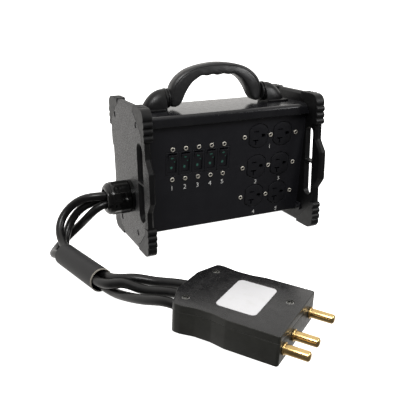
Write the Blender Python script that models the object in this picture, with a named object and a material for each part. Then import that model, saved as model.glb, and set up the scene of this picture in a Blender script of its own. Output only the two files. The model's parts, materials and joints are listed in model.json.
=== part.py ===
"""Portable power distribution box with a flat three pin stage plug on three cables.

Metres, +Z up. The box stands on z = 0, its front panel looks towards -Y, and +X is to the right
seen from the front. The origin is under the middle of the box, grips and corner guards included.
"""
from math import asin, cos, pi, radians, sin, sqrt, tan

import bmesh
import bpy
from mathutils import Euler, Vector

# Clearance between pieces that touch or fit into each other.
GAP = 0.0003

# End plates.
BOX_WIDTH = 0.2672
PLATE_THICK = 0.0104
PLATE_DEPTH = 0.1465
PLATE_HEIGHT = 0.1974
PLATE_CORNER = 0.015
OUTER_BEVEL_WIDTH = 0.007
OUTER_BEVEL_DEPTH = 0.0015
INNER_CHAMFER = 0.003

# Hand slot, the grip in front of it, and the shallow recess at the back.
SLOT_LOW = 0.049
SLOT_HIGH = 0.150
SLOT_WIDTH = 0.0168
SLOT_CHAMFER = 0.003
SLOT_WEB = 0.0024
GRIP_STRIP = 0.0083
GRIP_OUT = 0.0122
GRIP_LOW = 0.063
GRIP_HIGH = 0.1346
GRIP_SLOPE = 0.0162
RECESS_DEEP = 0.006
RECESS_LOW = 0.067
RECESS_HIGH = 0.1304
RECESS_SLOPE = 0.008

# Corner guards.
GUARD_LEG_UP = 0.041
GUARD_LEG_BACK = 0.0393
GUARD_OUT = 0.0034
GUARD_TOP_OUT = 0.0014
GUARD_VALLEY = 0.0004
GUARD_SEAT = 0.0025
GUARD_OUTER_FLANGE = 0.002
GUARD_INNER_FLANGE = 0.0023
GUARD_STRIP = 0.008
GUARD_WEB = 0.0312
GUARD_WEB_DROP = 0.0115
GUARD_WEB_LEAN = 0.0015
GUARD_TAIL_DROP = 0.0075
LOBES_UP = 3
LOBES_BACK = 3

# Sheet metal box between the plates.
WALL_THICK = 0.0024
SHEET = 0.002
PAN_BOTTOM = 0.0172
PAN_BEND = 0.004
PANEL_TILT = radians(7.1)
PANEL_MID_HEIGHT = 0.0969
PANEL_MID_FORWARD = 0.0386
COVER_TOP = 0.183
COVER_LIP = 0.1685
PAN_BEHIND_LIP = 0.0035
COVER_FORWARD = 0.054
COVER_BEND = 0.0035
HEM_RADIUS = 0.0016

# Screws that hold the end plates to the inner walls.
TOP_SCREW_Y = 0.0465
TOP_SCREW_Z = 0.1745
LOW_SCREW_Y = 0.0358
LOW_SCREW_Z = 0.0253
SCREW_RADIUS = 0.0019
SCREW_HEAD_RADIUS = 0.0039
SCREW_HEAD_THICK = 0.002
SCREW_SUNK = 0.0008
SCREW_PLAY = 0.0004
LOW_NUT_RADIUS = 0.0032
LOW_NUT_THICK = 0.0022
EAR_MARGIN = 0.006

# Duplex receptacles, each turned on its side.
DUPLEX_FROM_RIGHT = 0.0678
DUPLEX_PITCH = 0.0458
DUPLEX_COUNT = 3
FACE_SPACING = 0.0389
FACE_WIDTH = 0.0286
FACE_HEIGHT = 0.0343
FACE_PROUD = 0.0008
FACE_PLAY_X = 0.0005
FACE_PLAY_Z = 0.0007
DUPLEX_SCREWS = 0.0833
YOKE_LENGTH = 0.106
YOKE_HEIGHT = 0.019
YOKE_THICK = 0.0014
DUPLEX_BODY_LENGTH = 0.070
DUPLEX_BODY_HEIGHT = 0.0324
DUPLEX_BODY_DEPTH = 0.026
BLADE_OFFSET = 0.00635
BLADE_BACK = 0.004
GROUND_FORWARD = 0.0079
BLADE_LENGTH = 0.0074
BLADE_SLOT = 0.0019
NEUTRAL_LENGTH = 0.0086
NEUTRAL_SLOT = 0.0022
NEUTRAL_BRANCH = 0.0062
GROUND_LENGTH = 0.0064
GROUND_WIDTH = 0.0052
CONTACT_DEPTH = 0.012
DEVICE_SCREW_RADIUS = 0.0017
DEVICE_HEAD_RADIUS = 0.0034
DEVICE_HEAD_THICK = 0.0012

# Rocker circuit breakers.
BREAKER_COUNT = 5
BREAKER_PITCH = 0.01905
BREAKERS_FROM_LEFT = 0.0884
BREAKER_MID_UP = 0.0185
BREAKER_WIDTH = 0.0186
BREAKER_HEIGHT = 0.054
BREAKER_DEPTH = 0.040
BREAKER_SCREWS = 0.0432
BEZEL_HEIGHT = 0.0326
ROCKER_MID_UP = 0.0206
ROCKER_WIDTH = 0.012
ROCKER_LENGTH = 0.0252
ROCKER_TILT = radians(8)
ROCKER_AXIS_IN = 0.007
ROCKER_LOW_FACE = 0.0016
ROCKER_THICK = 0.0079
POCKET_PLAY = 0.00035
POCKET_DEPTH = 0.0145
TRUNNION_RADIUS = 0.0013
TRUNNION_REACH = 0.002

# Bars inside the box.
LINE_BAR_HEIGHT = 0.012
LINE_BAR_THICK = 0.002
BAR_LENGTH = 0.080
BAR_WIDTH = 0.010
BAR_HEIGHT = 0.008
BARS_FROM_LEFT = 0.0786
BAR_SPACING = 0.022
INSULATOR_HEIGHT = 0.012
GROUND_FOOT_HEIGHT = 0.004
GROUND_FOOT_LENGTH = 0.008
BAR_SCREWS = 7
BAR_SCREW_RADIUS = 0.0024
BAR_SCREW_HEIGHT = 0.002

# Handle, its pods and its pins.
HANDLE_AXIS_Z = 0.1983
HANDLE_TOP = 0.2433
HANDLE_HALF_SPAN = 0.0705
HANDLE_DEPTH = 0.0252
# Right half of the arch, from the middle of the grip to the foot, as shares of the half span and of
# the rise above the hinge axis: outer edge across and up, inner edge across and up, share of depth.
HANDLE_ARCH = (
    (0.0, 1.0, 0.0, 0.62, 1.0), (0.227, 0.976, 0.184, 0.62, 1.0), (0.462, 0.911, 0.362, 0.60, 1.0),
    (0.674, 0.796, 0.511, 0.489, 1.0), (0.851, 0.60, 0.617, 0.322, 1.0), (0.953, 0.40, 0.695, 0.133, 0.97),
    (0.996, 0.20, 0.755, -0.067, 0.9), (1.0, -0.044, 0.794, -0.165, 0.84), (0.99, -0.175, 0.83, -0.225, 0.72),
    (0.955, -0.262, 0.88, -0.268, 0.5),
)
# Half of its section: share of the way from the outer to the inner edge, share of the half depth.
HANDLE_SECTION = (
    (0.0, 0.42), (0.06, 0.66), (0.16, 0.80), (0.215, 0.83), (0.24, 0.785), (0.275, 0.85), (0.75, 1.0),
    (0.94, 0.97), (1.0, 0.86),
)
FINGER_PITCH = 0.0165
FINGER_DEEP = 0.0012
HINGE_PIN_RADIUS = 0.004
HINGE_PLAY = 0.0003
PIN_IN_LEG = 0.0125
PIN_IN_POD = 0.019
COLLAR_RADIUS = 0.0133
COLLAR_LENGTH = 0.0022
COLLAR_GROOVE_RADIUS = 0.0118
COLLAR_GROOVE_LENGTH = 0.0016
POD_FLANGE_RADIUS = 0.0138
POD_FLANGE_LENGTH = 0.0024
POD_LENGTH = 0.034
POD_HEIGHT = 0.028
POD_HALF_WIDTH = 0.0145
POD_SKIRT_HEIGHT = 0.0026
POD_SKIRT_OUT = 0.0022

# Cable gland on the left end plate.
GLAND_Y = -0.0106
GLAND_Z = 0.0709
GLAND_TUBE_RADIUS = 0.0178
GLAND_BORE_RADIUS = 0.0142
GLAND_COLLAR_RADIUS = 0.0225
GLAND_COLLAR_THICK = 0.0045
GLAND_NUT_RADIUS = 0.023
GLAND_NUT_LENGTH = 0.0325
GLAND_LOBES = 12
GLAND_LOBE_DEEP = 0.0011
GLAND_DOME_LENGTH = 0.0115
GLAND_MOUTH_RADIUS = 0.0138
GLAND_LIP = 0.0105
SEAL_LENGTH = 0.007
LOCKNUT_RADIUS = 0.0225
LOCKNUT_THICK = 0.006

# Cables and the shrink sleeve round them.
CABLE_DIAMETER = 0.0113
CABLE_PLAY = 0.001
CABLE_STEP = 0.0228
SLEEVE_START = (-0.2355, -0.0423, 0.0147)
SLEEVE_END = (-0.2133, -0.1366, 0.0147)
SLEEVE_WALL = 0.0011
SLEEVE_TWIST = radians(-16.1)
STRAIGHT_AT_SLEEVE = 0.003
STRAIGHT_AT_PLUG = 0.006
STRAIGHT_AT_GLAND = 0.001
SLEEVE_STATIONS = 4
ROUTE_SPANS = 8

# Plug, measured back from its front face and across from its middle line. Its cables hold its
# rear end a little off the floor.
PLUG_PLACE = (-0.0683, -0.3256, 0.0)
PLUG_TURN = radians(-52.4)
PLUG_LIFT = radians(3.9)
PLUG_LENGTH = 0.1242
PLUG_WIDTH = 0.1012
PLUG_HEIGHT = 0.0327
PLUG_PARTING = 0.0248
PLUG_WAIST = 0.0031
PLUG_SHELL = 0.0038
PLUG_FLOOR = 0.003
PLUG_TOP_SKIN = 0.0032
PLUG_EDGE = 0.0009
PLUG_FRONT_WALL = 0.012
PLUG_SCREWS = ((-0.1078, -0.0335), (-0.1078, 0.0335), (-0.0148, 0.0144))
PLUG_SCREW_RADIUS = 0.0018
PLUG_SCREW_HEAD = 0.0042
PLUG_SCREW_SUNK = 0.0006
PLUG_SCREW_HEAD_THICK = 0.0024
PLUG_SCREW_LENGTH = 0.020
PLUG_BOSS_RADIUS = 0.0062
PIN_PLACES = (("ground", -0.0390), ("neutral", -0.0125), ("hot", 0.0365))
PIN_HEIGHT = 0.0145
PIN_RADIUS = 0.005
PIN_LENGTH = 0.0268
PIN_COLLAR_RADIUS = 0.0062
PIN_COLLAR_LENGTH = 0.0018
PIN_SHANK_RADIUS = 0.0032
PIN_NUT_RADIUS = 0.0058
PIN_NUT_LENGTH = 0.006
PIN_TIP = 0.0022
LABEL_MID = (-0.0555, 0.0003)
LABEL_SIZE = (0.0435, 0.0615)
LABEL_CORNER = 0.006
LABEL_THICK = 0.0006
CABLE_ENTRY_HEIGHT = 0.0155
CABLE_ENTRY_MID = -0.0047
CABLE_ENTRY_PITCH = 0.0215

# Values worked out from those above.
BOX_SHIFT = (GRIP_OUT - GUARD_OUT) / 2
PLATE_OUTER = BOX_WIDTH / 2
PLATE_INNER = PLATE_OUTER - PLATE_THICK
WALL_OUTER = PLATE_INNER - GAP
WALL_INNER = WALL_OUTER - WALL_THICK
SHEET_END = WALL_INNER - GAP
HALF_DEPTH = PLATE_DEPTH / 2
HALF_HEIGHT = PLATE_HEIGHT / 2
PAN_TOP = COVER_LIP + PAN_BEHIND_LIP
DUPLEX_X = PLATE_OUTER - DUPLEX_FROM_RIGHT
BREAKER_MID_X = BREAKERS_FROM_LEFT - PLATE_OUTER
BAR_MID_X = BARS_FROM_LEFT - PLATE_OUTER
SLOT_FRONT = -HALF_DEPTH + GRIP_STRIP
DEVICE_BACK = SHEET + GAP
POD_START = HANDLE_HALF_SPAN + 2 * GAP
POD_BODY_START = POD_START + COLLAR_LENGTH + COLLAR_GROOVE_LENGTH + POD_FLANGE_LENGTH
CABLE_RADIUS = CABLE_DIAMETER / 2
STRAND_OFFSET = (CABLE_DIAMETER + CABLE_PLAY) / sqrt(3)
BUNDLE_RADIUS = STRAND_OFFSET + CABLE_RADIUS
SLEEVE_BORE = BUNDLE_RADIUS + GAP
GLAND_NUT_START = PLATE_OUTER + GAP + GLAND_COLLAR_THICK + GAP
GLAND_NUT_END = GLAND_NUT_START + GLAND_NUT_LENGTH
SEAL_END = GLAND_NUT_END - GLAND_LIP
SEAL_START = SEAL_END - SEAL_LENGTH

BLACK_PLASTIC = ("black_plastic", (0.035, 0.035, 0.038), 0.55, 0.0)
PEBBLED_BLACK = ("pebbled_black", (0.045, 0.045, 0.047), 0.7, 0.0)
GUARD_RUBBER = ("guard_rubber", (0.04, 0.04, 0.042), 0.6, 0.0)
PANEL_PAINT = ("panel_paint", (0.028, 0.028, 0.032), 0.45, 0.0)
COVER_PAINT = ("cover_paint", (0.02, 0.02, 0.022), 0.2, 0.0)
GLOSS_BLACK = ("gloss_black", (0.02, 0.02, 0.02), 0.18, 0.0)
DEVICE_BLACK = ("device_black", (0.03, 0.03, 0.032), 0.4, 0.0)
CABLE_JACKET = ("cable_jacket", (0.05, 0.05, 0.052), 0.42, 0.0)
SLEEVE_GREY = ("sleeve_grey", (0.09, 0.09, 0.095), 0.65, 0.0)
PLUG_PLASTIC = ("plug_plastic", (0.05, 0.052, 0.048), 0.55, 0.0)
LABEL_FILM = ("label_film", (0.75, 0.75, 0.73), 0.4, 0.0)
BRASS = ("brass", (0.78, 0.58, 0.28), 0.28, 1.0)
COPPER = ("copper", (0.72, 0.42, 0.28), 0.35, 1.0)
STEEL = ("steel", (0.6, 0.6, 0.6), 0.35, 1.0)
INSULATOR_RED = ("insulator_red", (0.35, 0.04, 0.03), 0.5, 0.0)
SEAL_RUBBER = ("seal_rubber", (0.03, 0.03, 0.03), 0.8, 0.0)

# Each cable's free points: between gland and sleeve, then between sleeve and plug.
# Places are in the box's frame, whose origin lies under the middle of the end plates.
CABLES = {
    "cable_a": {
        "gland_angle": radians(120), "sleeve_angle": radians(57), "entry": 1,
        "drop": ((-0.1845, -0.0120, 0.0770), (-0.1950, -0.0070, 0.0750), (-0.2070, 0.0005, 0.0685),
                 (-0.2185, 0.0040, 0.0585), (-0.2285, 0.0010, 0.0465), (-0.2335, -0.0070, 0.0350),
                 (-0.2340, -0.0205, 0.0250)),
        "run": ((-0.1980, -0.1555, 0.0220), (-0.1820, -0.1675, 0.0240), (-0.1640, -0.1785, 0.0215)),
    },
    "cable_b": {
        "gland_angle": 0.0, "sleeve_angle": radians(297), "entry": -1,
        "drop": ((-0.1815, -0.0025, 0.0680), (-0.1900, -0.0005, 0.0640), (-0.1985, 0.0030, 0.0590),
                 (-0.2075, 0.0065, 0.0500), (-0.2165, 0.0060, 0.0380), (-0.2245, -0.0010, 0.0245),
                 (-0.2305, -0.0170, 0.0125)),
        "run": ((-0.2040, -0.1590, 0.0070), (-0.1980, -0.1815, 0.0115), (-0.1880, -0.2070, 0.0175)),
    },
    "cable_c": {
        "gland_angle": radians(240), "sleeve_angle": radians(177), "entry": 0,
        "drop": ((-0.1840, -0.0125, 0.0590), (-0.1915, -0.0075, 0.0510), (-0.2010, 0.0055, 0.0360),
                 (-0.2125, 0.0120, 0.0235), (-0.2280, 0.0080, 0.0130), (-0.2405, -0.0050, 0.0080),
                 (-0.2460, -0.0210, 0.0100)),
        "run": ((-0.2115, -0.1585, 0.0195), (-0.1965, -0.1740, 0.0235), (-0.1805, -0.1925, 0.0210)),
    },
}


def clear_scene():
    for item in list(bpy.data.objects):
        bpy.data.objects.remove(item, do_unlink=True)


def make_material(spec):
    name, colour, roughness, metallic = spec
    material = bpy.data.materials.get(name)
    if material is None:
        material = bpy.data.materials.new(name)
        material.use_nodes = True
        shader = material.node_tree.nodes["Principled BSDF"]
        shader.inputs["Base Color"].default_value = (*colour, 1.0)
        shader.inputs["Roughness"].default_value = roughness
        shader.inputs["Metallic"].default_value = metallic
        material.diffuse_color = (*colour, 1.0)
    return material


def place(item, parent, location=(0, 0, 0), rotation=(0, 0, 0)):
    bpy.context.scene.collection.objects.link(item)
    item.parent = parent
    item.location = location
    item.rotation_euler = rotation
    return item


def add_empty(name, parent=None, location=(0, 0, 0), rotation=(0, 0, 0)):
    return place(bpy.data.objects.new(name, None), parent, location, rotation)


def add_mesh(name, bm, spec, parent, location=(0, 0, 0), rotation=(0, 0, 0)):
    """Turns a bmesh into a named object with its faces pointing out."""
    bmesh.ops.recalc_face_normals(bm, faces=bm.faces)
    mesh = bpy.data.meshes.new(name)
    bm.to_mesh(mesh)
    bm.free()
    mesh.materials.append(make_material(spec))
    mesh.shade_smooth()
    mesh.set_sharp_from_angle(angle=radians(35))
    return place(bpy.data.objects.new(name, mesh), parent, location, rotation)


def add_tool(name, bm, parent, location=(0, 0, 0), rotation=(0, 0, 0)):
    """A shape that only cuts another or joins it."""
    tool = add_mesh(name, bm, BLACK_PLASTIC, parent, location, rotation)
    tool.hide_render = True
    tool.display_type = "WIRE"
    return tool


def combine(target, tool, operation):
    modifier = target.modifiers.new(operation.lower() + "_" + tool.name, "BOOLEAN")
    modifier.object = tool
    modifier.operation = operation
    modifier.solver = "EXACT"


def loft(bm, rings, loop=False):
    """Skins rings of equal count. The end rings are capped unless the run closes on itself."""
    rows = [[bm.verts.new(point) for point in ring] for ring in rings]
    pairs = list(zip(rows, rows[1:]))
    if loop:
        pairs.append((rows[-1], rows[0]))
    for low, high in pairs:
        for i in range(len(low)):
            j = (i + 1) % len(low)
            bm.faces.new((low[i], low[j], high[j], high[i]))
    if not loop:
        bm.faces.new(rows[0][::-1])
        bm.faces.new(rows[-1])
    return bm


def along_x(outline, x):
    return [(x, a, b) for a, b in outline]


def along_y(outline, y):
    return [(a, y, b) for a, b in outline]


def along_z(outline, z):
    return [(a, b, z) for a, b in outline]


def prism(bm, outline, way, low, high):
    return loft(bm, [way(outline, low), way(outline, high)])


def block(bm, low, high):
    outline = [(low[0], low[1]), (high[0], low[1]), (high[0], high[1]), (low[0], high[1])]
    return prism(bm, outline, along_z, low[2], high[2])


def circle(radius, sides, centre=(0.0, 0.0), start=0.0):
    turns = [start + 2 * pi * i / sides for i in range(sides)]
    return [(centre[0] + radius * cos(t), centre[1] + radius * sin(t)) for t in turns]


def round_bar(bm, radius, sides, way, low, high, centre=(0.0, 0.0)):
    return prism(bm, circle(radius, sides, centre), way, low, high)


def turned(bm, profile, sides, way, centre=(0.0, 0.0)):
    """Skins circles of the profile's (place along the axis, radius) pairs."""
    return loft(bm, [way(circle(radius, sides, centre), at) for at, radius in profile])


def turned_ring(bm, profile, sides, way, centre=(0.0, 0.0)):
    """As turned, for a closed profile that goes round a bore."""
    return loft(bm, [way(circle(radius, sides, centre), at) for at, radius in profile], loop=True)


def corner_turn(before, here, after):
    a = Vector((here[0] - before[0], here[1] - before[1])).normalized()
    b = Vector((after[0] - here[0], after[1] - here[1])).normalized()
    return a, b, asin(max(-1.0, min(1.0, a.x * b.y - a.y * b.x)))


def inset_corners(corners, inset):
    """Moves each side of a counter-clockwise outline inwards and keeps its roundings concentric."""
    moved = []
    count = len(corners)
    for i, (x, y, radius) in enumerate(corners):
        a, b, turn = corner_turn(corners[i - 1], corners[i], corners[(i + 1) % count])
        normal_a, normal_b = Vector((-a.y, a.x)), Vector((-b.y, b.x))
        middle = (normal_a + normal_b).normalized()
        shift = middle * (inset / middle.dot(normal_a))
        rounding = radius - inset if turn > 0 else radius + inset
        moved.append((x + shift.x, y + shift.y, max(rounding, GAP)))
    return moved


def rounded(corners, steps):
    """Points of an outline whose corners (x, y, radius) are rounded; steps is for a right angle."""
    points = []
    count = len(corners)
    for i, (x, y, radius) in enumerate(corners):
        a, b, turn = corner_turn(corners[i - 1], corners[i], corners[(i + 1) % count])
        if radius == 0 or abs(turn) < radians(1):
            points.append((x, y))
            continue
        reach = radius * tan(abs(turn) / 2)
        side = 1 if turn > 0 else -1
        start = Vector((x, y)) - a * reach
        centre = start + Vector((-a.y, a.x)) * radius * side
        arm = start - centre
        pieces = max(1, round(steps * abs(turn) / radians(90)))
        for k in range(pieces + 1):
            angle = turn * k / pieces
            points.append((centre.x + arm.x * cos(angle) - arm.y * sin(angle),
                           centre.y + arm.x * sin(angle) + arm.y * cos(angle)))
    return points


def rectangle(half_x, half_y, radius, centre=(0.0, 0.0)):
    cx, cy = centre
    return [(cx - half_x, cy - half_y, radius), (cx + half_x, cy - half_y, radius),
            (cx + half_x, cy + half_y, radius), (cx - half_x, cy + half_y, radius)]


# End plates and corner guards

def plate_corners():
    front, rear, soft = -HALF_DEPTH, HALF_DEPTH, 0.004
    out, back = front - GRIP_OUT, rear - RECESS_DEEP
    return [
        (front, 0.0, PLATE_CORNER), (rear, 0.0, PLATE_CORNER),
        (rear, RECESS_LOW, soft), (back, RECESS_LOW + RECESS_SLOPE, soft),
        (back, RECESS_HIGH - RECESS_SLOPE, soft), (rear, RECESS_HIGH, soft),
        (rear, PLATE_HEIGHT, PLATE_CORNER), (front, PLATE_HEIGHT, PLATE_CORNER),
        (front, GRIP_HIGH, soft), (out, GRIP_HIGH - GRIP_SLOPE, soft),
        (out, GRIP_LOW + GRIP_SLOPE, soft), (front, GRIP_LOW, soft),
    ]


def core_corners(inset):
    radius = PLATE_CORNER - inset
    return rectangle(HALF_DEPTH - inset, HALF_HEIGHT - inset, radius, (0.0, HALF_HEIGHT))


def guard_inner_edge(grow):
    """The edge of a guard's flange on the plate, from its lower end to its rear end."""
    u_front = HALF_DEPTH - GUARD_STRIP - grow
    u_web = HALF_DEPTH - GUARD_WEB - grow
    u_tail = HALF_DEPTH - GUARD_LEG_BACK - grow
    return [
        (u_tail, HALF_HEIGHT - GUARD_TAIL_DROP - grow),
        (u_web, HALF_HEIGHT - GUARD_WEB_DROP - grow),
        (u_front - GUARD_WEB_LEAN, HALF_HEIGHT - GUARD_WEB - grow),
        (u_front, HALF_HEIGHT - GUARD_LEG_UP - grow),
    ]


def lobe(share, height):
    """Height of a guard's rib at a share of its length; the valleys keep a little of it."""
    low = GUARD_VALLEY / GUARD_OUT
    return height * (low + (1 - low) * sin(pi * share) ** 0.6)


def guard_outline(top_out):
    """One guard in (outwards, upwards) from the plate's middle, ribbed along both legs."""
    points = []
    arc_u, arc_w = HALF_DEPTH - PLATE_CORNER, HALF_HEIGHT - PLATE_CORNER
    low = HALF_HEIGHT - GUARD_LEG_UP
    steps = 4
    for k in range(LOBES_UP * steps):
        height = lobe((k % steps) / steps, GUARD_OUT)
        points.append((HALF_DEPTH + height, low + (arc_w - low) * k / (LOBES_UP * steps)))
    arc_steps = 8
    for k in range(arc_steps + 1):
        share = k / arc_steps
        reach = PLATE_CORNER + lobe(share, GUARD_OUT + (top_out - GUARD_OUT) * share)
        angle = share * pi / 2
        points.append((arc_u + reach * cos(angle), arc_w + reach * sin(angle)))
    tail = HALF_DEPTH - GUARD_LEG_BACK
    for k in range(1, LOBES_BACK * steps + 1):
        height = lobe((k % steps) / steps, top_out)
        points.append((arc_u + (tail - arc_u) * k / (LOBES_BACK * steps), HALF_HEIGHT + height))
    return points + guard_inner_edge(0.0)


def seat_outline():
    """The room that a guard takes out of the plate, open towards the outside."""
    far = 0.01
    low = HALF_HEIGHT - GUARD_LEG_UP - GAP
    tail = HALF_DEPTH - GUARD_LEG_BACK - GAP
    outer = [(HALF_DEPTH + far, low), (HALF_DEPTH + far, HALF_HEIGHT + far), (tail, HALF_HEIGHT + far)]
    return outer + guard_inner_edge(GAP)


def to_corner(outline, front_back, up_down):
    """Turns (outwards, upwards) from the plate's middle into (y, z) at one of its corners."""
    return [(front_back * u, HALF_HEIGHT + up_down * w) for u, w in outline]


def add_guards(side, parent):
    name = "left" if side < 0 else "right"
    core = bmesh.new()
    prism(core, rounded(core_corners(GUARD_SEAT - GAP), 4), along_x,
          side * (PLATE_INNER - GAP), side * (PLATE_OUTER - GUARD_OUTER_FLANGE + GAP))
    core = add_tool(name + "_guard_core", core, parent)
    for front_back, place_y in ((-1, "front"), (1, "rear")):
        for up_down, place_z in ((-1, "lower"), (1, "upper")):
            bm = bmesh.new()
            outline = guard_outline(GUARD_TOP_OUT if up_down > 0 else 0.0)
            prism(bm, to_corner(outline, front_back, up_down), along_x,
                  side * (PLATE_INNER - GUARD_INNER_FLANGE), side * PLATE_OUTER)
            guard = add_mesh(f"{name}_{place_y}_{place_z}_guard", bm, GUARD_RUBBER, parent)
            combine(guard, core, "DIFFERENCE")


def add_plate(side, parent):
    name = "left" if side < 0 else "right"
    corners = plate_corners()
    stations = [(PLATE_OUTER, OUTER_BEVEL_WIDTH), (PLATE_OUTER - OUTER_BEVEL_DEPTH, 0.0),
                (PLATE_INNER + INNER_CHAMFER, 0.0), (PLATE_INNER, INNER_CHAMFER)]
    bm = bmesh.new()
    loft(bm, [along_x(rounded_like(corners, inset), side * x) for x, inset in stations])
    plate = add_mesh(name + "_end_plate", bm, PEBBLED_BLACK, parent)

    core = bmesh.new()
    prism(core, rounded(core_corners(GUARD_SEAT), 4), along_x,
          side * (PLATE_INNER - 0.005), side * (PLATE_OUTER - GUARD_OUTER_FLANGE))
    core = add_tool(name + "_seat_core", core, parent)
    seats = bmesh.new()
    for front_back in (-1, 1):
        for up_down in (-1, 1):
            prism(seats, to_corner(seat_outline(), front_back, up_down), along_x,
                  side * (PLATE_INNER - 0.004), side * (PLATE_OUTER + 0.004))
    seats = add_tool(name + "_guard_seats", seats, parent)
    combine(seats, core, "DIFFERENCE")
    combine(plate, seats, "DIFFERENCE")

    holes = bmesh.new()
    low, high = side * (PLATE_INNER - 0.001), side * (PLATE_OUTER + 0.001)
    for upper in (False, True):
        throat = rounded(slot_corners(upper, 0.0), 4)
        mouth = rounded(slot_corners(upper, SLOT_CHAMFER + 0.001), 4)
        loft(holes, [along_x(throat, low), along_x(throat, side * (PLATE_OUTER - SLOT_CHAMFER)),
                     along_x(mouth, high)])
    seat = PLATE_OUTER - SCREW_SUNK - SCREW_HEAD_THICK - GAP
    shank, head = SCREW_RADIUS + SCREW_PLAY, SCREW_HEAD_RADIUS + SCREW_PLAY
    for centre in screw_places():
        profile = [(PLATE_INNER - 0.001, shank), (seat, shank), (seat, head), (PLATE_OUTER + 0.001, head)]
        turned(holes, [(side * at, radius) for at, radius in profile], 12, along_x, centre)
    if side < 0:
        round_bar(holes, GLAND_TUBE_RADIUS + GAP * 2, 28, along_x, low, high, (GLAND_Y, GLAND_Z))
    holes = add_tool(name + "_plate_holes", holes, parent)
    combine(plate, holes, "DIFFERENCE")


def slot_corners(upper, grow):
    """One half of the hand slot, whose two halves leave a thin web between them."""
    front, rear = SLOT_FRONT - grow, SLOT_FRONT + SLOT_WIDTH + grow
    middle = (SLOT_LOW + SLOT_HIGH) / 2
    half_web, round_end, square_end = SLOT_WEB / 2, SLOT_WIDTH * 0.45 + grow, 0.001
    if upper:
        low, high, r_low, r_high = middle + half_web, SLOT_HIGH + grow, square_end, round_end
    else:
        low, high, r_low, r_high = SLOT_LOW - grow, middle - half_web, round_end, square_end
    return [(front, low, r_low), (rear, low, r_low), (rear, high, r_high), (front, high, r_high)]


def rounded_like(corners, inset):
    """An inset outline with the same number of points as the full one."""
    steps = 4
    inner = inset_corners(corners, inset) if inset else corners
    return rounded(inner, steps)


def screw_places():
    return [(-TOP_SCREW_Y, TOP_SCREW_Z), (TOP_SCREW_Y, TOP_SCREW_Z),
            (-LOW_SCREW_Y, LOW_SCREW_Z), (LOW_SCREW_Y, LOW_SCREW_Z)]


# Sheet metal box

def panel_y(z):
    """Outer face of the tilted front panel; the rear panel mirrors it."""
    return -PANEL_MID_FORWARD - (z - PANEL_MID_HEIGHT) * tan(PANEL_TILT)


def pan_corners():
    low, high = panel_y(PAN_BOTTOM), panel_y(PAN_TOP)
    return [(high, PAN_TOP, 0.0), (low, PAN_BOTTOM, PAN_BEND),
            (-low, PAN_BOTTOM, PAN_BEND), (-high, PAN_TOP, 0.0)]


def add_chassis(parent):
    corners = pan_corners()
    bend = PAN_BEND - SHEET
    slant = SHEET / cos(PANEL_TILT)
    low = panel_y(PAN_BOTTOM + SHEET) + slant
    high = panel_y(PAN_TOP) + slant
    outer = rounded(corners, 3)
    inner = rounded([(high, PAN_TOP, 0.0), (low, PAN_BOTTOM + SHEET, bend),
                     (-low, PAN_BOTTOM + SHEET, bend), (-high, PAN_TOP, 0.0)], 3)
    bm = bmesh.new()
    prism(bm, outer + inner[::-1], along_x, -SHEET_END, SHEET_END)
    pan = add_mesh("chassis_pan", bm, PANEL_PAINT, parent)
    return pan


def add_panel_openings(pan, frame):
    bm = bmesh.new()
    low, high = -0.004, SHEET + 0.004
    for row in range(DUPLEX_COUNT):
        up = duplex_up(row)
        for side in (-1, 1):
            centre = (DUPLEX_X + side * FACE_SPACING / 2, up)
            prism(bm, face_outline(FACE_PLAY_X, FACE_PLAY_Z, centre), along_y, low, high)
        for side in (-1, 0, 1):
            round_bar(bm, DEVICE_SCREW_RADIUS + SCREW_PLAY, 10, along_y, low, high,
                      (DUPLEX_X + side * DUPLEX_SCREWS / 2, up))
    half_span = ((BREAKER_COUNT - 1) * BREAKER_PITCH + BREAKER_WIDTH) / 2 + GAP
    middle = (BREAKER_MID_X, BREAKER_MID_UP + bezel_shift())
    window = rectangle(half_span, BEZEL_HEIGHT / 2 + GAP, 0.0, middle)
    prism(bm, rounded(window, 1), along_y, low, high)
    for i in range(BREAKER_COUNT):
        for side in (-1, 1):
            centre = (breaker_x(i), BREAKER_MID_UP + side * BREAKER_SCREWS / 2)
            round_bar(bm, DEVICE_SCREW_RADIUS + SCREW_PLAY, 10, along_y, low, high, centre)
    combine(pan, add_tool("panel_openings", bm, frame), "DIFFERENCE")


def cover_section():
    """The cover's folded sheet, with a rolled hem along each lip."""
    y, top, lip = COVER_FORWARD, COVER_TOP, COVER_LIP
    hem_y, hem_z = y - HEM_RADIUS, lip + HEM_RADIUS
    hem = [(hem_y + HEM_RADIUS * cos(t), hem_z + HEM_RADIUS * sin(t))
           for t in [radians(-a) for a in (0, 45, 90, 135, 180, 225)]]
    outer = rounded([(y, lip + 2 * HEM_RADIUS, 0.0), (y, top, COVER_BEND), (-y, top, COVER_BEND),
                     (-y, lip + 2 * HEM_RADIUS, 0.0)], 4)
    in_y, in_top, in_bend = y - SHEET, top - SHEET, COVER_BEND - SHEET
    inner = rounded([(in_y, lip + 2 * HEM_RADIUS, 0.0), (in_y, in_top, in_bend),
                     (-in_y, in_top, in_bend), (-in_y, lip + 2 * HEM_RADIUS, 0.0)], 4)
    left_hem = [(-a, b) for a, b in hem]
    return outer + left_hem + inner[::-1] + hem[::-1]


def add_cover(parent):
    bm = bmesh.new()
    prism(bm, cover_section(), along_x, -SHEET_END, SHEET_END)
    return add_mesh("top_cover", bm, COVER_PAINT, parent)


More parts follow.
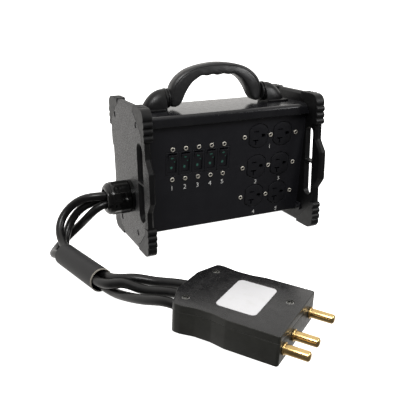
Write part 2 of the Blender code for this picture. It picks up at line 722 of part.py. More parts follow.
def wall_outline():
    """End wall: the pan's and the cover's shape, an ear at each low screw, clear of the guards."""
    low_z, shoulder = PAN_BOTTOM, COVER_LIP
    (web_y, web_w), (front_y, front_w) = guard_inner_edge(2 * GAP)[1:3]
    slope = (front_w - web_w) / (front_y - web_y)
    clip_z = HALF_HEIGHT + web_w + slope * (COVER_FORWARD - web_y)
    clip_y = web_y + (COVER_TOP - HALF_HEIGHT - web_w) / slope
    ear_y = LOW_SCREW_Y + EAR_MARGIN
    ear_low, ear_high = LOW_SCREW_Z - EAR_MARGIN, LOW_SCREW_Z + EAR_MARGIN
    soft = 0.002
    right = [
        (-panel_y(low_z), low_z, soft), (-panel_y(ear_low), ear_low, 0.0), (ear_y, ear_low, soft * 2),
        (ear_y, ear_high, soft * 2), (-panel_y(ear_high), ear_high, 0.0),
        (-panel_y(shoulder), shoulder, 0.0), (COVER_FORWARD, shoulder, soft),
        (COVER_FORWARD, clip_z, soft), (clip_y, COVER_TOP, soft),
    ]
    left = [(-y, z, radius) for y, z, radius in reversed(right)]
    return rounded(right + left, 3)


def add_wall(side, parent):
    name = "left" if side < 0 else "right"
    bm = bmesh.new()
    prism(bm, wall_outline(), along_x, side * WALL_INNER, side * WALL_OUTER)
    wall = add_mesh(name + "_inner_wall", bm, PANEL_PAINT, parent)
    screws = bmesh.new()
    head_out = PLATE_OUTER - SCREW_SUNK
    head_in = head_out - SCREW_HEAD_THICK
    middle = (WALL_INNER + WALL_OUTER) / 2
    for centre in screw_places():
        profile = [(middle, SCREW_RADIUS), (head_in, SCREW_RADIUS), (head_in, SCREW_HEAD_RADIUS),
                   (head_out - 0.0005, SCREW_HEAD_RADIUS), (head_out, SCREW_HEAD_RADIUS * 0.85)]
        turned(screws, [(side * at, radius) for at, radius in profile], 10, along_x, centre)
    for y in (-LOW_SCREW_Y, LOW_SCREW_Y):
        round_bar(screws, LOW_NUT_RADIUS, 6, along_x, side * (middle - 0.0004),
                  side * (WALL_INNER - LOW_NUT_THICK), (y, LOW_SCREW_Z))
    combine(wall, add_tool(name + "_wall_screws", screws, parent), "UNION")
    if side < 0:
        hole = bmesh.new()
        round_bar(hole, GLAND_TUBE_RADIUS + GAP * 2, 28, along_x, -WALL_INNER + 0.001, -WALL_OUTER - 0.001,
                  (GLAND_Y, GLAND_Z))
        combine(wall, add_tool("gland_wall_hole", hole, parent), "DIFFERENCE")


# Receptacles

def duplex_up(row):
    return (1 - row) * DUPLEX_PITCH


def face_outline(play_x, play_z, centre):
    """A receptacle face: a circle with flat left and right sides."""
    radius, half = FACE_HEIGHT / 2 + play_z, FACE_WIDTH / 2 + play_x
    reach = asin(half / radius)
    steps = 6
    turns = [reach - 2 * reach * k / steps for k in range(steps + 1)]
    top = [(radius * sin(t), radius * cos(t)) for t in turns]
    return [(centre[0] + a, centre[1] + b) for a, b in top + [(-a, -b) for a, b in top]]


def receptacle_holes(bm, centre_x):
    low, high = -FACE_PROUD - 0.001, CONTACT_DEPTH
    back = centre_x - BLADE_BACK
    hot = rectangle(BLADE_LENGTH / 2, BLADE_SLOT / 2, 0.0, (back, BLADE_OFFSET))
    prism(bm, rounded(hot, 1), along_y, low, high)
    half, arm, leg = NEUTRAL_SLOT / 2, NEUTRAL_LENGTH / 2, NEUTRAL_BRANCH
    z = -BLADE_OFFSET
    tee = [(back - arm, z - half), (back - half, z - half), (back - half, z - half - leg),
           (back + half, z - half - leg), (back + half, z - half), (back + arm, z - half),
           (back + arm, z + half), (back - arm, z + half)]
    prism(bm, tee, along_y, low, high)
    flat, end, width = centre_x + GROUND_FORWARD - GROUND_LENGTH / 2, GROUND_LENGTH, GROUND_WIDTH / 2
    nose = flat + end - width
    ground = [(flat, -width), (nose, -width)]
    ground += [(nose + width * sin(t), -width * cos(t)) for t in [radians(a) for a in (30, 60, 90, 120, 150)]]
    ground += [(nose, width), (flat, width)]
    prism(bm, ground, along_y, low, high)


def device_screw(bm, centre, depth):
    """A mounting screw, its head just clear of the panel's face."""
    front = -GAP - DEVICE_HEAD_THICK
    profile = [(front, DEVICE_HEAD_RADIUS * 0.8), (front + DEVICE_HEAD_THICK * 0.4, DEVICE_HEAD_RADIUS),
               (-GAP, DEVICE_HEAD_RADIUS), (-GAP, DEVICE_SCREW_RADIUS), (depth, DEVICE_SCREW_RADIUS)]
    turned(bm, profile, 10, along_y, centre)


def add_receptacle(row, frame):
    place_at = (DUPLEX_X, 0.0, duplex_up(row))
    name = f"duplex_receptacle_{row + 1}"
    bm = bmesh.new()
    yoke = rectangle(YOKE_LENGTH / 2, YOKE_HEIGHT / 2, 0.003)
    prism(bm, rounded(yoke, 2), along_y, DEVICE_BACK, DEVICE_BACK + YOKE_THICK)
    device = add_mesh(name, bm, DEVICE_BLACK, frame, place_at)
    body = bmesh.new()
    middle = DEVICE_BACK + YOKE_THICK / 2
    prism(body, rounded(rectangle(DUPLEX_BODY_LENGTH / 2, DUPLEX_BODY_HEIGHT / 2, 0.002), 1), along_y,
          middle, DEVICE_BACK + DUPLEX_BODY_DEPTH)
    combine(device, add_tool(name + "_body", body, frame, place_at), "UNION")
    faces = bmesh.new()
    for side in (-1, 1):
        outline = face_outline(0.0, 0.0, (side * FACE_SPACING / 2, 0.0))
        prism(faces, outline, along_y, -FACE_PROUD, middle + 0.002)
    for side in (-1, 0, 1):
        device_screw(faces, (side * DUPLEX_SCREWS / 2, 0.0), middle)
    combine(device, add_tool(name + "_faces", faces, frame, place_at), "UNION")
    holes = bmesh.new()
    for side in (-1, 1):
        receptacle_holes(holes, side * FACE_SPACING / 2)
    combine(device, add_tool(name + "_holes", holes, frame, place_at), "DIFFERENCE")


# Circuit breakers

def breaker_x(index):
    return BREAKER_MID_X + (index - (BREAKER_COUNT - 1) / 2) * BREAKER_PITCH


def bezel_shift():
    """The rockers and their window sit a little above the breaker's middle."""
    return 0.00085


def add_breaker(index, frame):
    name = f"breaker_{index + 1}"
    place_at = (breaker_x(index), 0.0, BREAKER_MID_UP)
    half = BREAKER_WIDTH / 2
    bm = bmesh.new()
    block(bm, (-half, DEVICE_BACK, -BREAKER_HEIGHT / 2),
          (half, DEVICE_BACK + BREAKER_DEPTH, BREAKER_HEIGHT / 2))
    breaker = add_mesh(name, bm, DEVICE_BLACK, frame, place_at)
    front = bmesh.new()
    centre_z = bezel_shift()
    block(front, (-half, 0.0, centre_z - BEZEL_HEIGHT / 2),
          (half, DEVICE_BACK + 0.002, centre_z + BEZEL_HEIGHT / 2))
    for side in (-1, 1):
        device_screw(front, (0.0, side * BREAKER_SCREWS / 2), DEVICE_BACK + 0.002)
    combine(breaker, add_tool(name + "_front", front, frame, place_at), "UNION")
    pocket = bmesh.new()
    up = ROCKER_MID_UP - BREAKER_MID_UP
    half_x = ROCKER_WIDTH / 2 + POCKET_PLAY
    half_z = rocker_reach() + POCKET_PLAY
    block(pocket, (-half_x, -0.002, up - half_z), (half_x, POCKET_DEPTH, up + half_z))
    combine(breaker, add_tool(name + "_pocket", pocket, frame, place_at), "DIFFERENCE")
    bearing = bmesh.new()
    reach = ROCKER_WIDTH / 2 + TRUNNION_REACH + GAP
    round_bar(bearing, TRUNNION_RADIUS + GAP, 12, along_x, -reach, reach, (ROCKER_AXIS_IN, up))
    combine(breaker, add_tool(name + "_bearing", bearing, frame, place_at), "DIFFERENCE")


def rocker_profile():
    """Side view of a rocker about its axis, in (inwards, upwards): a shallow V in front."""
    half = ROCKER_LENGTH / 2
    valley = ROCKER_LOW_FACE - ROCKER_AXIS_IN
    crest = valley - half * tan(ROCKER_TILT)
    belly = valley + ROCKER_THICK
    return [(crest, -half), (valley, 0.0), (crest, half), (-0.002, half - 0.0006), (belly, half * 0.4),
            (belly, -half * 0.4), (-0.002, -half + 0.0006)]


def rocker_reach():
    """How far a rocker's front corner reaches up or down at either stop."""
    crest, half = rocker_profile()[2]
    return half * cos(ROCKER_TILT) - crest * sin(ROCKER_TILT)


def add_rocker(index, frame):
    name = f"breaker_rocker_{index + 1}"
    place_at = (breaker_x(index), ROCKER_AXIS_IN, ROCKER_MID_UP)
    tilt = (ROCKER_TILT, 0.0, 0.0)
    bm = bmesh.new()
    prism(bm, rocker_profile(), along_x, -ROCKER_WIDTH / 2, ROCKER_WIDTH / 2)
    rocker = add_mesh(name, bm, DEVICE_BLACK, frame, place_at, tilt)
    trunnion = bmesh.new()
    reach = ROCKER_WIDTH / 2 + TRUNNION_REACH
    round_bar(trunnion, TRUNNION_RADIUS, 12, along_x, -reach, reach)
    combine(rocker, add_tool(name + "_trunnion", trunnion, frame, place_at, tilt), "UNION")


# Bars inside

def add_line_bar(frame):
    back = DEVICE_BACK + BREAKER_DEPTH + GAP
    half = ((BREAKER_COUNT - 1) * BREAKER_PITCH + BREAKER_WIDTH) / 2
    low = BREAKER_HEIGHT / 2 - 0.006 - LINE_BAR_HEIGHT
    bm = bmesh.new()
    block(bm, (-half, back, low), (half, back + LINE_BAR_THICK, low + LINE_BAR_HEIGHT))
    bar = add_mesh("line_bus_bar", bm, COPPER, frame, (BREAKER_MID_X, 0.0, BREAKER_MID_UP))
    studs = bmesh.new()
    for i in range(BREAKER_COUNT):
        centre = (breaker_x(i) - BREAKER_MID_X, low + LINE_BAR_HEIGHT / 2)
        round_bar(studs, BAR_SCREW_RADIUS, 8, along_y, back + LINE_BAR_THICK / 2,
                  back + LINE_BAR_THICK + BAR_SCREW_HEIGHT, centre)
    combine(bar, add_tool("line_bar_screws", studs, frame, (BREAKER_MID_X, 0.0, BREAKER_MID_UP)), "UNION")


def add_terminal_bar(name, y, low, parent):
    """A brass bar with a row of wire screws; the ground bar stands on two feet of its own."""
    bm = bmesh.new()
    half = BAR_LENGTH / 2
    block(bm, (-half, -BAR_WIDTH / 2, 0.0), (half, BAR_WIDTH / 2, BAR_HEIGHT))
    bar = add_mesh(name, bm, BRASS, parent, (BAR_MID_X, y, low))
    extras = bmesh.new()
    for i in range(BAR_SCREWS):
        x = (i - (BAR_SCREWS - 1) / 2) * BAR_LENGTH / (BAR_SCREWS + 0.5)
        round_bar(extras, BAR_SCREW_RADIUS, 8, along_z, BAR_HEIGHT / 2,
                  BAR_HEIGHT + BAR_SCREW_HEIGHT, (x, 0.0))
    combine(bar, add_tool(name + "_screws", extras, parent, (BAR_MID_X, y, low)), "UNION")
    return bar


def add_bars(parent):
    floor = PAN_BOTTOM + SHEET + GAP
    front, rear = -BAR_SPACING / 2, BAR_SPACING / 2
    bm = bmesh.new()
    half = BAR_LENGTH / 2 + 0.003
    block(bm, (-half, -BAR_WIDTH / 2 - 0.001, 0.0), (half, BAR_WIDTH / 2 + 0.001, INSULATOR_HEIGHT))
    add_mesh("neutral_insulator", bm, INSULATOR_RED, parent, (BAR_MID_X, front, floor))
    add_terminal_bar("neutral_bar", front, floor + INSULATOR_HEIGHT + GAP, parent)
    low = floor + GROUND_FOOT_HEIGHT
    bar = add_terminal_bar("ground_bar", rear, low, parent)
    feet = bmesh.new()
    for side in (-1, 1):
        end = side * BAR_LENGTH / 2
        inner = end - side * GROUND_FOOT_LENGTH
        block(feet, (min(end, inner), -BAR_WIDTH / 2, -GROUND_FOOT_HEIGHT),
              (max(end, inner), BAR_WIDTH / 2, BAR_HEIGHT / 2))
    combine(bar, add_tool("ground_bar_feet", feet, parent, (BAR_MID_X, rear, low)), "UNION")


# Handle

def handle_stations(spans):
    """Cuts across the arch from foot to foot: outer x and z, inner x and z, half depth."""
    span, rise, half = HANDLE_HALF_SPAN, HANDLE_TOP - HANDLE_AXIS_Z, HANDLE_DEPTH / 2
    right = [Vector((a * span, b * rise, c * span, d * rise, e * half)) for a, b, c, d, e in HANDLE_ARCH]
    left = [Vector((-v[0], v[1], -v[2], v[3], v[4])) for v in reversed(right[1:])]
    return smooth_curve(left + right, spans)


def finger_rise(x):
    """How much the underside of the grip is hollowed for the fingers."""
    if abs(x) > 2 * FINGER_PITCH:
        return 0.0
    return FINGER_DEEP * (0.5 - 0.5 * cos(2 * pi * x / FINGER_PITCH))


def handle_ring(station):
    outer_x, outer_z, inner_x, inner_z, half = station
    inner_z += finger_rise(inner_x)
    front = [(outer_x + (inner_x - outer_x) * share, -half * width, outer_z + (inner_z - outer_z) * share)
             for share, width in HANDLE_SECTION]
    return front + [(x, -y, z) for x, y, z in reversed(front)]


def add_handle(parent):
    bm = bmesh.new()
    loft(bm, [handle_ring(station) for station in handle_stations(4)])
    handle = add_mesh("handle_grip", bm, BLACK_PLASTIC, parent)
    bores = bmesh.new()
    for side in (-1, 1):
        low, high = side * (HANDLE_HALF_SPAN - PIN_IN_LEG - GAP), side * (HANDLE_HALF_SPAN + 0.001)
        round_bar(bores, HINGE_PIN_RADIUS + HINGE_PLAY, 16, along_x, low, high)
    combine(handle, add_tool("handle_bores", bores, parent), "DIFFERENCE")


def pod_section(share):
    """Half-oval section of a pod's dome: its width and height fall away towards the outer end."""
    height = POD_HEIGHT * (1 - share ** 2.3) ** 0.9
    width = POD_HALF_WIDTH * (1 - share ** 2.6) ** 0.6
    steps = 10
    arc = [pi * k / steps for k in range(steps + 1)]
    return [(width * cos(t), max(height, 0.003) * sin(t) ** 0.8) for t in arc]


def add_pod(side, parent):
    name = "left" if side < 0 else "right"
    base = COVER_TOP + GAP
    axis = HANDLE_AXIS_Z - base
    bm = bmesh.new()
    shares = (0.0, 0.25, 0.45, 0.62, 0.76, 0.87, 0.95, 0.99)
    rings = []
    for share in shares:
        x = POD_BODY_START + POD_LENGTH * share
        rings.append(along_x(pod_section(share), side * x))
    loft(bm, rings)
    pod = add_mesh(name + "_handle_pod", bm, BLACK_PLASTIC, parent, (0, 0, base))
    extras = bmesh.new()
    groove = POD_START + COLLAR_LENGTH
    flange = groove + COLLAR_GROOVE_LENGTH
    soft = 0.0006
    neck = [(POD_START, COLLAR_RADIUS - soft), (POD_START + soft, COLLAR_RADIUS),
            (groove, COLLAR_RADIUS), (groove, COLLAR_GROOVE_RADIUS), (flange, COLLAR_GROOVE_RADIUS),
            (flange, POD_FLANGE_RADIUS), (POD_BODY_START - soft, POD_FLANGE_RADIUS),
            (POD_BODY_START, POD_FLANGE_RADIUS - soft), (POD_BODY_START + soft, COLLAR_GROOVE_RADIUS),
            (POD_BODY_START + 0.003, COLLAR_GROOVE_RADIUS)]
    turned(extras, [(side * at, radius) for at, radius in neck], 24, along_x, (0.0, axis))
    combine(pod, add_tool(name + "_pod_neck", extras, parent, (0, 0, base)), "UNION")
    skirt = bmesh.new()
    half = (POD_LENGTH + POD_SKIRT_OUT) / 2
    middle = side * (POD_BODY_START + half)
    outline = rectangle(half, POD_HALF_WIDTH + POD_SKIRT_OUT, 0.006, (middle, 0.0))
    prism(skirt, rounded(outline, 3), along_z, 0.0, POD_SKIRT_HEIGHT)
    combine(pod, add_tool(name + "_pod_skirt", skirt, parent, (0, 0, base)), "UNION")
    bore = bmesh.new()
    round_bar(bore, HINGE_PIN_RADIUS + HINGE_PLAY, 16, along_x, side * (POD_START - 0.001),
              side * (POD_START + PIN_IN_POD + GAP), (0.0, axis))
    combine(pod, add_tool(name + "_pod_bore", bore, parent, (0, 0, base)), "DIFFERENCE")
    pin = bmesh.new()
    start, end, soft = HANDLE_HALF_SPAN - PIN_IN_LEG, POD_START + PIN_IN_POD, 0.0006
    profile = [(start, HINGE_PIN_RADIUS - soft), (start + soft, HINGE_PIN_RADIUS),
               (end - soft, HINGE_PIN_RADIUS), (end, HINGE_PIN_RADIUS - soft)]
    turned(pin, [(side * at, radius) for at, radius in profile], 16, along_x)
    add_mesh(name + "_hinge_pin", pin, STEEL, parent, (0, 0, HANDLE_AXIS_Z))


# Gland

def add_gland(parent):
    centre = (GLAND_Y, GLAND_Z)
    collar_in, collar_out = PLATE_OUTER + GAP, PLATE_OUTER + GAP + GLAND_COLLAR_THICK
    inner_end = WALL_INNER - LOCKNUT_THICK - 0.003
    tube_end = SEAL_START - GAP
    tube = [(inner_end, GLAND_BORE_RADIUS), (inner_end, GLAND_TUBE_RADIUS), (tube_end, GLAND_TUBE_RADIUS),
            (tube_end, GLAND_BORE_RADIUS)]
    bm = bmesh.new()
    turned_ring(bm, [(-at, radius) for at, radius in tube], 28, along_x, centre)
    body = add_mesh("gland_body", bm, GLOSS_BLACK, parent)
    collar = bmesh.new()
    middle_radius = (GLAND_BORE_RADIUS + GLAND_TUBE_RADIUS) / 2
    profile = [(-collar_in, middle_radius), (-collar_in, GLAND_COLLAR_RADIUS),
               (-collar_out, GLAND_COLLAR_RADIUS), (-collar_out, middle_radius)]
    turned_ring(collar, profile, 28, along_x, centre)
    combine(body, add_tool("gland_collar", collar, parent), "UNION")

    add_mesh("gland_nut", gland_nut(centre), GLOSS_BLACK, parent)

    seal = bmesh.new()
    profile = [(-SEAL_START, GLAND_TUBE_RADIUS - 0.0005), (-SEAL_END, GLAND_TUBE_RADIUS - 0.0005)]
    turned(seal, profile, 24, along_x, centre)
    add_mesh("gland_seal", seal, SEAL_RUBBER, parent)

    locknut = bmesh.new()
    outer = WALL_INNER - GAP
    bore = GLAND_TUBE_RADIUS + GAP
    rings = []
    inner = outer - LOCKNUT_THICK
    for at, radius, is_round in ((outer, bore, True), (outer, LOCKNUT_RADIUS, False),
                                 (inner, LOCKNUT_RADIUS, False), (inner, bore, True)):
        rings.append(along_x(hex_or_round(radius, 24, is_round, centre), -at))
    loft(locknut, rings, loop=True)
    add_mesh("gland_locknut", locknut, GLOSS_BLACK, parent)


def hex_or_round(radius, sides, is_round, centre):
    """A circle, or a six-sided nut's outline with the same number of points."""
    if is_round:
        return circle(radius, sides, centre)
    flat = radius * cos(pi / 6)
    points = []
    for i in range(sides):
        turn = 2 * pi * i / sides
        nearest = round(turn / (pi / 3)) * (pi / 3)
        reach = flat / cos(turn - nearest)
        points.append((centre[0] + reach * cos(turn), centre[1] + reach * sin(turn)))
    return points


def gland_nut(centre):
    """Fluted nut with a domed mouth; the flutes fade out over the dome."""
    bore = GLAND_TUBE_RADIUS + GAP
    dome_start = GLAND_NUT_END - GLAND_DOME_LENGTH
    drop = GLAND_NUT_RADIUS - GLAND_MOUTH_RADIUS - 0.0012
    profile = [(GLAND_NUT_START, bore, 0.0), (GLAND_NUT_START, GLAND_NUT_RADIUS - 0.0008, 1.0),
               (GLAND_NUT_START + 0.001, GLAND_NUT_RADIUS, 1.0), (dome_start, GLAND_NUT_RADIUS, 1.0)]
    for angle in (25, 50, 70, 90):
        along, inwards = sin(radians(angle)), 1 - cos(radians(angle))
        profile.append((dome_start + GLAND_DOME_LENGTH * along, GLAND_NUT_RADIUS - drop * inwards, 1 - along))
    profile += [(GLAND_NUT_END, GLAND_MOUTH_RADIUS, 0.0), (SEAL_END + GAP, GLAND_MOUTH_RADIUS, 0.0),
                (SEAL_END + GAP, bore, 0.0)]
    sides = GLAND_LOBES * 3
    rings = []
    for at, radius, flute in profile:
        ring = []
        for i in range(sides):
            turn = 2 * pi * i / sides
            reach = radius - flute * GLAND_LOBE_DEEP * (0.5 - 0.5 * cos(GLAND_LOBES * turn))
            ring.append((-at, centre[0] + reach * cos(turn), centre[1] + reach * sin(turn)))
        rings.append(ring)
    return loft(bmesh.new(), rings, loop=True)


# Cables

def smooth_curve(points, spans):
    """Points of a curve through the given ones, each stretch weighed by its length where two meet."""
    lengths = [(b - a).length for a, b in zip(points, points[1:])]
    slopes = [(b - a) / length for a, b, length in zip(points, points[1:], lengths)]
    ways = [slopes[0]]
    for before, after, slope, following in zip(lengths, lengths[1:], slopes, slopes[1:]):
        ways.append((slope * after + following * before) / (before + after))
    ways.append(slopes[-1])
    curve = []
    for i, length in enumerate(lengths):
        for k in range(spans):
            t = k / spans
            curve.append(points[i] * (2 * t ** 3 - 3 * t ** 2 + 1) + points[i + 1] * (3 * t ** 2 - 2 * t ** 3)
                         + (ways[i] * (t ** 3 - 2 * t ** 2 + t) + ways[i + 1] * (t ** 3 - t ** 2)) * length)
    return curve + [points[-1]]


def even_points(curve, step):
    """The same curve with one point about every step, both ends kept."""
    lengths = [0.0]
    for a, b in zip(curve, curve[1:]):
        lengths.append(lengths[-1] + (b - a).length)
    count = max(2, round(lengths[-1] / step))
    points, i = [], 0
    for k in range(count + 1):
        target = lengths[-1] * k / count
        while i < len(curve) - 2 and lengths[i + 1] < target:
            i += 1
        share = (target - lengths[i]) / (lengths[i + 1] - lengths[i])
        points.append(curve[i].lerp(curve[i + 1], min(1.0, share)))
    return points


def sleeve_strand(angle, along):
    """Where a cable lies in the sleeve, at its own angle in the twisted bundle."""
    start, end = Vector(SLEEVE_START), Vector(SLEEVE_END)
    ahead = (end - start).normalized()
    right = Vector((-ahead.y, ahead.x, 0.0))
    share = max(0.0, min(1.0, along / (end - start).length))
    turn = angle + SLEEVE_TWIST * share
    return start + ahead * along + (right * cos(turn) + Vector((0, 0, 1)) * sin(turn)) * STRAND_OFFSET


def plug_point(x, y, z):
    """A place in the plug's own frame, given in the box's frame."""
    turn = Euler((0.0, PLUG_LIFT, PLUG_TURN)).to_matrix()
    return Vector(PLUG_PLACE) + turn @ Vector((x, y, z))


def cable_route(cable):
    """Stations along a cable's middle: gland, free points, sleeve, free points, plug."""
    turn = cable["gland_angle"]
    y, z = GLAND_Y + STRAND_OFFSET * cos(turn), GLAND_Z + STRAND_OFFSET * sin(turn)
    start = [Vector((-x, y, z)) for x in (SEAL_END + GAP, GLAND_NUT_END + STRAIGHT_AT_GLAND)]
    length = (Vector(SLEEVE_END) - Vector(SLEEVE_START)).length
    inside = [length * k / SLEEVE_STATIONS for k in range(SLEEVE_STATIONS + 1)]
    stations = [-STRAIGHT_AT_SLEEVE] + inside + [length + STRAIGHT_AT_SLEEVE]
    held = [sleeve_strand(cable["sleeve_angle"], along) for along in stations]
    across = CABLE_ENTRY_MID + cable["entry"] * CABLE_ENTRY_PITCH
    rear = -PLUG_LENGTH - GAP
    end = [plug_point(x, across, CABLE_ENTRY_HEIGHT) for x in (rear - STRAIGHT_AT_PLUG, rear)]
    drop = [Vector(point) for point in cable["drop"]]
    run = [Vector(point) for point in cable["run"]]
    return start + drop + held + run + end


def cable_points(cable):
    """Bend points: square to gland and plug at the ends, and even up to, in and past the sleeve."""
    curve = smooth_curve(cable_route(cable), ROUTE_SPANS)
    into = (3 + len(cable["drop"])) * ROUTE_SPANS
    out_of = into + SLEEVE_STATIONS * ROUTE_SPANS
    points = curve[:1] + even_points(curve[ROUTE_SPANS:into + 1], CABLE_STEP)
    points += even_points(curve[into:out_of + 1], CABLE_STEP)[1:]
    return points + even_points(curve[out_of:-ROUTE_SPANS], CABLE_STEP)[1:] + curve[-1:]


def add_cable(name, cable, parent):
    points = cable_points(cable)
    curve = bpy.data.curves.new(name, "CURVE")
    curve.dimensions = "3D"
    curve.bevel_depth = CABLE_RADIUS
    curve.bevel_resolution = 3
    curve.use_fill_caps = True
    spline = curve.splines.new("POLY")
    spline.points.add(len(points) - 1)
    for slot, point in zip(spline.points, points):
        slot.co = (*point, 1.0)
    curve.materials.append(make_material(CABLE_JACKET))
    place(bpy.data.objects.new(name, curve), parent)


def add_sleeve(parent):
    start, end = Vector(SLEEVE_START), Vector(SLEEVE_END)
    ahead = (end - start).normalized()
    right = Vector((-ahead.y, ahead.x, 0.0))
    up = Vector((0.0, 0.0, 1.0))
    length = (end - start).length
    sides = 20
    bore = SLEEVE_BORE / cos(pi / sides)
    outer = bore + SLEEVE_WALL
    rings = []
    for along, radius in ((0.0, bore), (0.0, outer), (length, outer), (length, bore)):
        ring = [start + ahead * along + (right * cos(t) + up * sin(t)) * radius
                for t in [2 * pi * (i + 0.5) / sides for i in range(sides)]]
        rings.append(ring)
    add_mesh("cable_sleeve", loft(bmesh.new(), rings, loop=True), SLEEVE_GREY, parent)


# Plug

def plug_corners():
    """Seen from above, counter-clockwise: straight sides, a waist, flared and chamfered rear corners."""
    half, waist = PLUG_WIDTH / 2, PLUG_WIDTH / 2 - PLUG_WAIST
    right = [(-PLUG_LENGTH, -half * 0.42, 0.012), (-PLUG_LENGTH + 0.0105, -half, 0.006),
             (-PLUG_LENGTH + 0.020, -half, 0.010), (-PLUG_LENGTH + 0.0345, -waist, 0.012),
             (-PLUG_LENGTH + 0.053, -waist, 0.012), (-PLUG_LENGTH + 0.069, -half, 0.012),
             (0.0, -half, 0.003)]
    return right + [(x, -y, radius) for x, y, radius in reversed(right)]


def plug_rings(levels):
    corners = plug_corners()
    return [along_z(rounded(inset_corners(corners, inset) if inset else corners, 4), z)
            for z, inset in levels]


def plug_hollow(name, low, high, frame):
    """The wiring space between the shells, with a boss left standing round each screw."""
    corners = [(min(x, -PLUG_FRONT_WALL + PLUG_SHELL), y, radius) for x, y, radius in plug_corners()]
    bm = bmesh.new()
    prism(bm, rounded(inset_corners(corners, PLUG_SHELL), 2), along_z, low, high)
    hollow = add_tool(name + "_hollow", bm, frame)
    bosses = bmesh.new()
    for centre in PLUG_SCREWS:
        round_bar(bosses, PLUG_BOSS_RADIUS, 12, along_z, low - 0.002, high + 0.002, centre)
    combine(hollow, add_tool(name + "_bosses", bosses, frame), "DIFFERENCE")
    return hollow


def add_plug_shells(frame):
    bm = bmesh.new()
    loft(bm, plug_rings([(0.0, PLUG_EDGE), (PLUG_EDGE, 0.0), (PLUG_PARTING - GAP, 0.0)]))
    base = add_mesh("plug_base", bm, PLUG_PLASTIC, frame)
    hollow = plug_hollow("plug_base", PLUG_FLOOR, PLUG_PARTING + 0.001, frame)
    combine(base, hollow, "DIFFERENCE")
    holes = bmesh.new()
    for _, across in PIN_PLACES:
        round_bar(holes, PIN_SHANK_RADIUS + GAP, 14, along_x, -PLUG_FRONT_WALL - 0.004, 0.001,
                  (across, PIN_HEIGHT))
    for centre in PLUG_SCREWS:
        round_bar(holes, PLUG_SCREW_RADIUS + GAP, 10, along_z, screw_tip() - GAP, PLUG_PARTING + 0.001,
                  centre)
    combine(base, add_tool("plug_base_holes", holes, frame), "DIFFERENCE")

    bm = bmesh.new()
    loft(bm, plug_rings([(PLUG_PARTING, 0.0), (PLUG_HEIGHT - PLUG_EDGE, 0.0), (PLUG_HEIGHT, PLUG_EDGE)]))
    cover = add_mesh("plug_cover", bm, PLUG_PLASTIC, frame)
    hollow = plug_hollow("plug_cover", PLUG_PARTING - 0.001, PLUG_HEIGHT - PLUG_TOP_SKIN, frame)
    combine(cover, hollow, "DIFFERENCE")
    holes = bmesh.new()
    for centre in PLUG_SCREWS:
        shoulder = PLUG_HEIGHT - PLUG_SCREW_SUNK - PLUG_SCREW_HEAD_THICK - GAP
        profile = [(PLUG_PARTING - 0.001, PLUG_SCREW_RADIUS + GAP), (shoulder, PLUG_SCREW_RADIUS + GAP),
                   (shoulder, PLUG_SCREW_HEAD + GAP), (PLUG_HEIGHT + 0.001, PLUG_SCREW_HEAD + GAP)]
        turned(holes, profile, 14, along_z, centre)
    recess = rectangle(LABEL_SIZE[0] / 2 + GAP, LABEL_SIZE[1] / 2 + GAP, LABEL_CORNER, LABEL_MID)
    prism(holes, rounded(recess, 3), along_z, PLUG_HEIGHT - LABEL_THICK, PLUG_HEIGHT + 0.001)
    combine(cover, add_tool("plug_cover_holes", holes, frame), "DIFFERENCE")


def screw_tip():
    return PLUG_HEIGHT - PLUG_SCREW_SUNK - PLUG_SCREW_LENGTH


def add_plug_fittings(frame):
    bm = bmesh.new()
    outline = rounded(rectangle(LABEL_SIZE[0] / 2, LABEL_SIZE[1] / 2, LABEL_CORNER - GAP, LABEL_MID), 3)
    prism(bm, outline, along_z, PLUG_HEIGHT - LABEL_THICK + GAP, PLUG_HEIGHT + GAP)
    add_mesh("plug_label", bm, LABEL_FILM, frame)
    head = PLUG_HEIGHT - PLUG_SCREW_SUNK
    for i, centre in enumerate(PLUG_SCREWS):
        bm = bmesh.new()
        profile = [(screw_tip(), PLUG_SCREW_RADIUS), (head - PLUG_SCREW_HEAD_THICK, PLUG_SCREW_RADIUS),
                   (head - PLUG_SCREW_HEAD_THICK, PLUG_SCREW_HEAD), (head - 0.0006, PLUG_SCREW_HEAD),
                   (head, PLUG_SCREW_HEAD * 0.8)]
        turned(bm, profile, 14, along_z, centre)
        screw = add_mesh(f"plug_screw_{i + 1}", bm, STEEL, frame)
        cross = bmesh.new()
        arm, half = PLUG_SCREW_HEAD * 0.62, 0.0005
        x, y = centre
        outline = [(x - arm, y - half), (x - half, y - half), (x - half, y - arm), (x + half, y - arm),
                   (x + half, y - half), (x + arm, y - half), (x + arm, y + half), (x + half, y + half),
                   (x + half, y + arm), (x - half, y + arm), (x - half, y + half), (x - arm, y + half)]
        prism(cross, outline, along_z, head - 0.0013, head + 0.001)
        combine(screw, add_tool(f"plug_screw_{i + 1}_cross", cross, frame), "DIFFERENCE")
    for name, across in PIN_PLACES:
        bm = bmesh.new()
        nut_front = -PLUG_FRONT_WALL - GAP
        profile = [(nut_front - PIN_NUT_LENGTH, PIN_NUT_RADIUS), (nut_front, PIN_NUT_RADIUS),
                   (nut_front, PIN_SHANK_RADIUS), (GAP, PIN_SHANK_RADIUS), (GAP, PIN_COLLAR_RADIUS),
                   (GAP + PIN_COLLAR_LENGTH, PIN_COLLAR_RADIUS), (GAP + PIN_COLLAR_LENGTH, PIN_RADIUS),
                   (PIN_LENGTH - PIN_TIP, PIN_RADIUS), (PIN_LENGTH - PIN_TIP * 0.4, PIN_RADIUS * 0.82),
                   (PIN_LENGTH, PIN_RADIUS * 0.4)]
        turned(bm, profile, 14, along_x, (across, PIN_HEIGHT))
        add_mesh(f"plug_pin_{name}", bm, BRASS, frame)


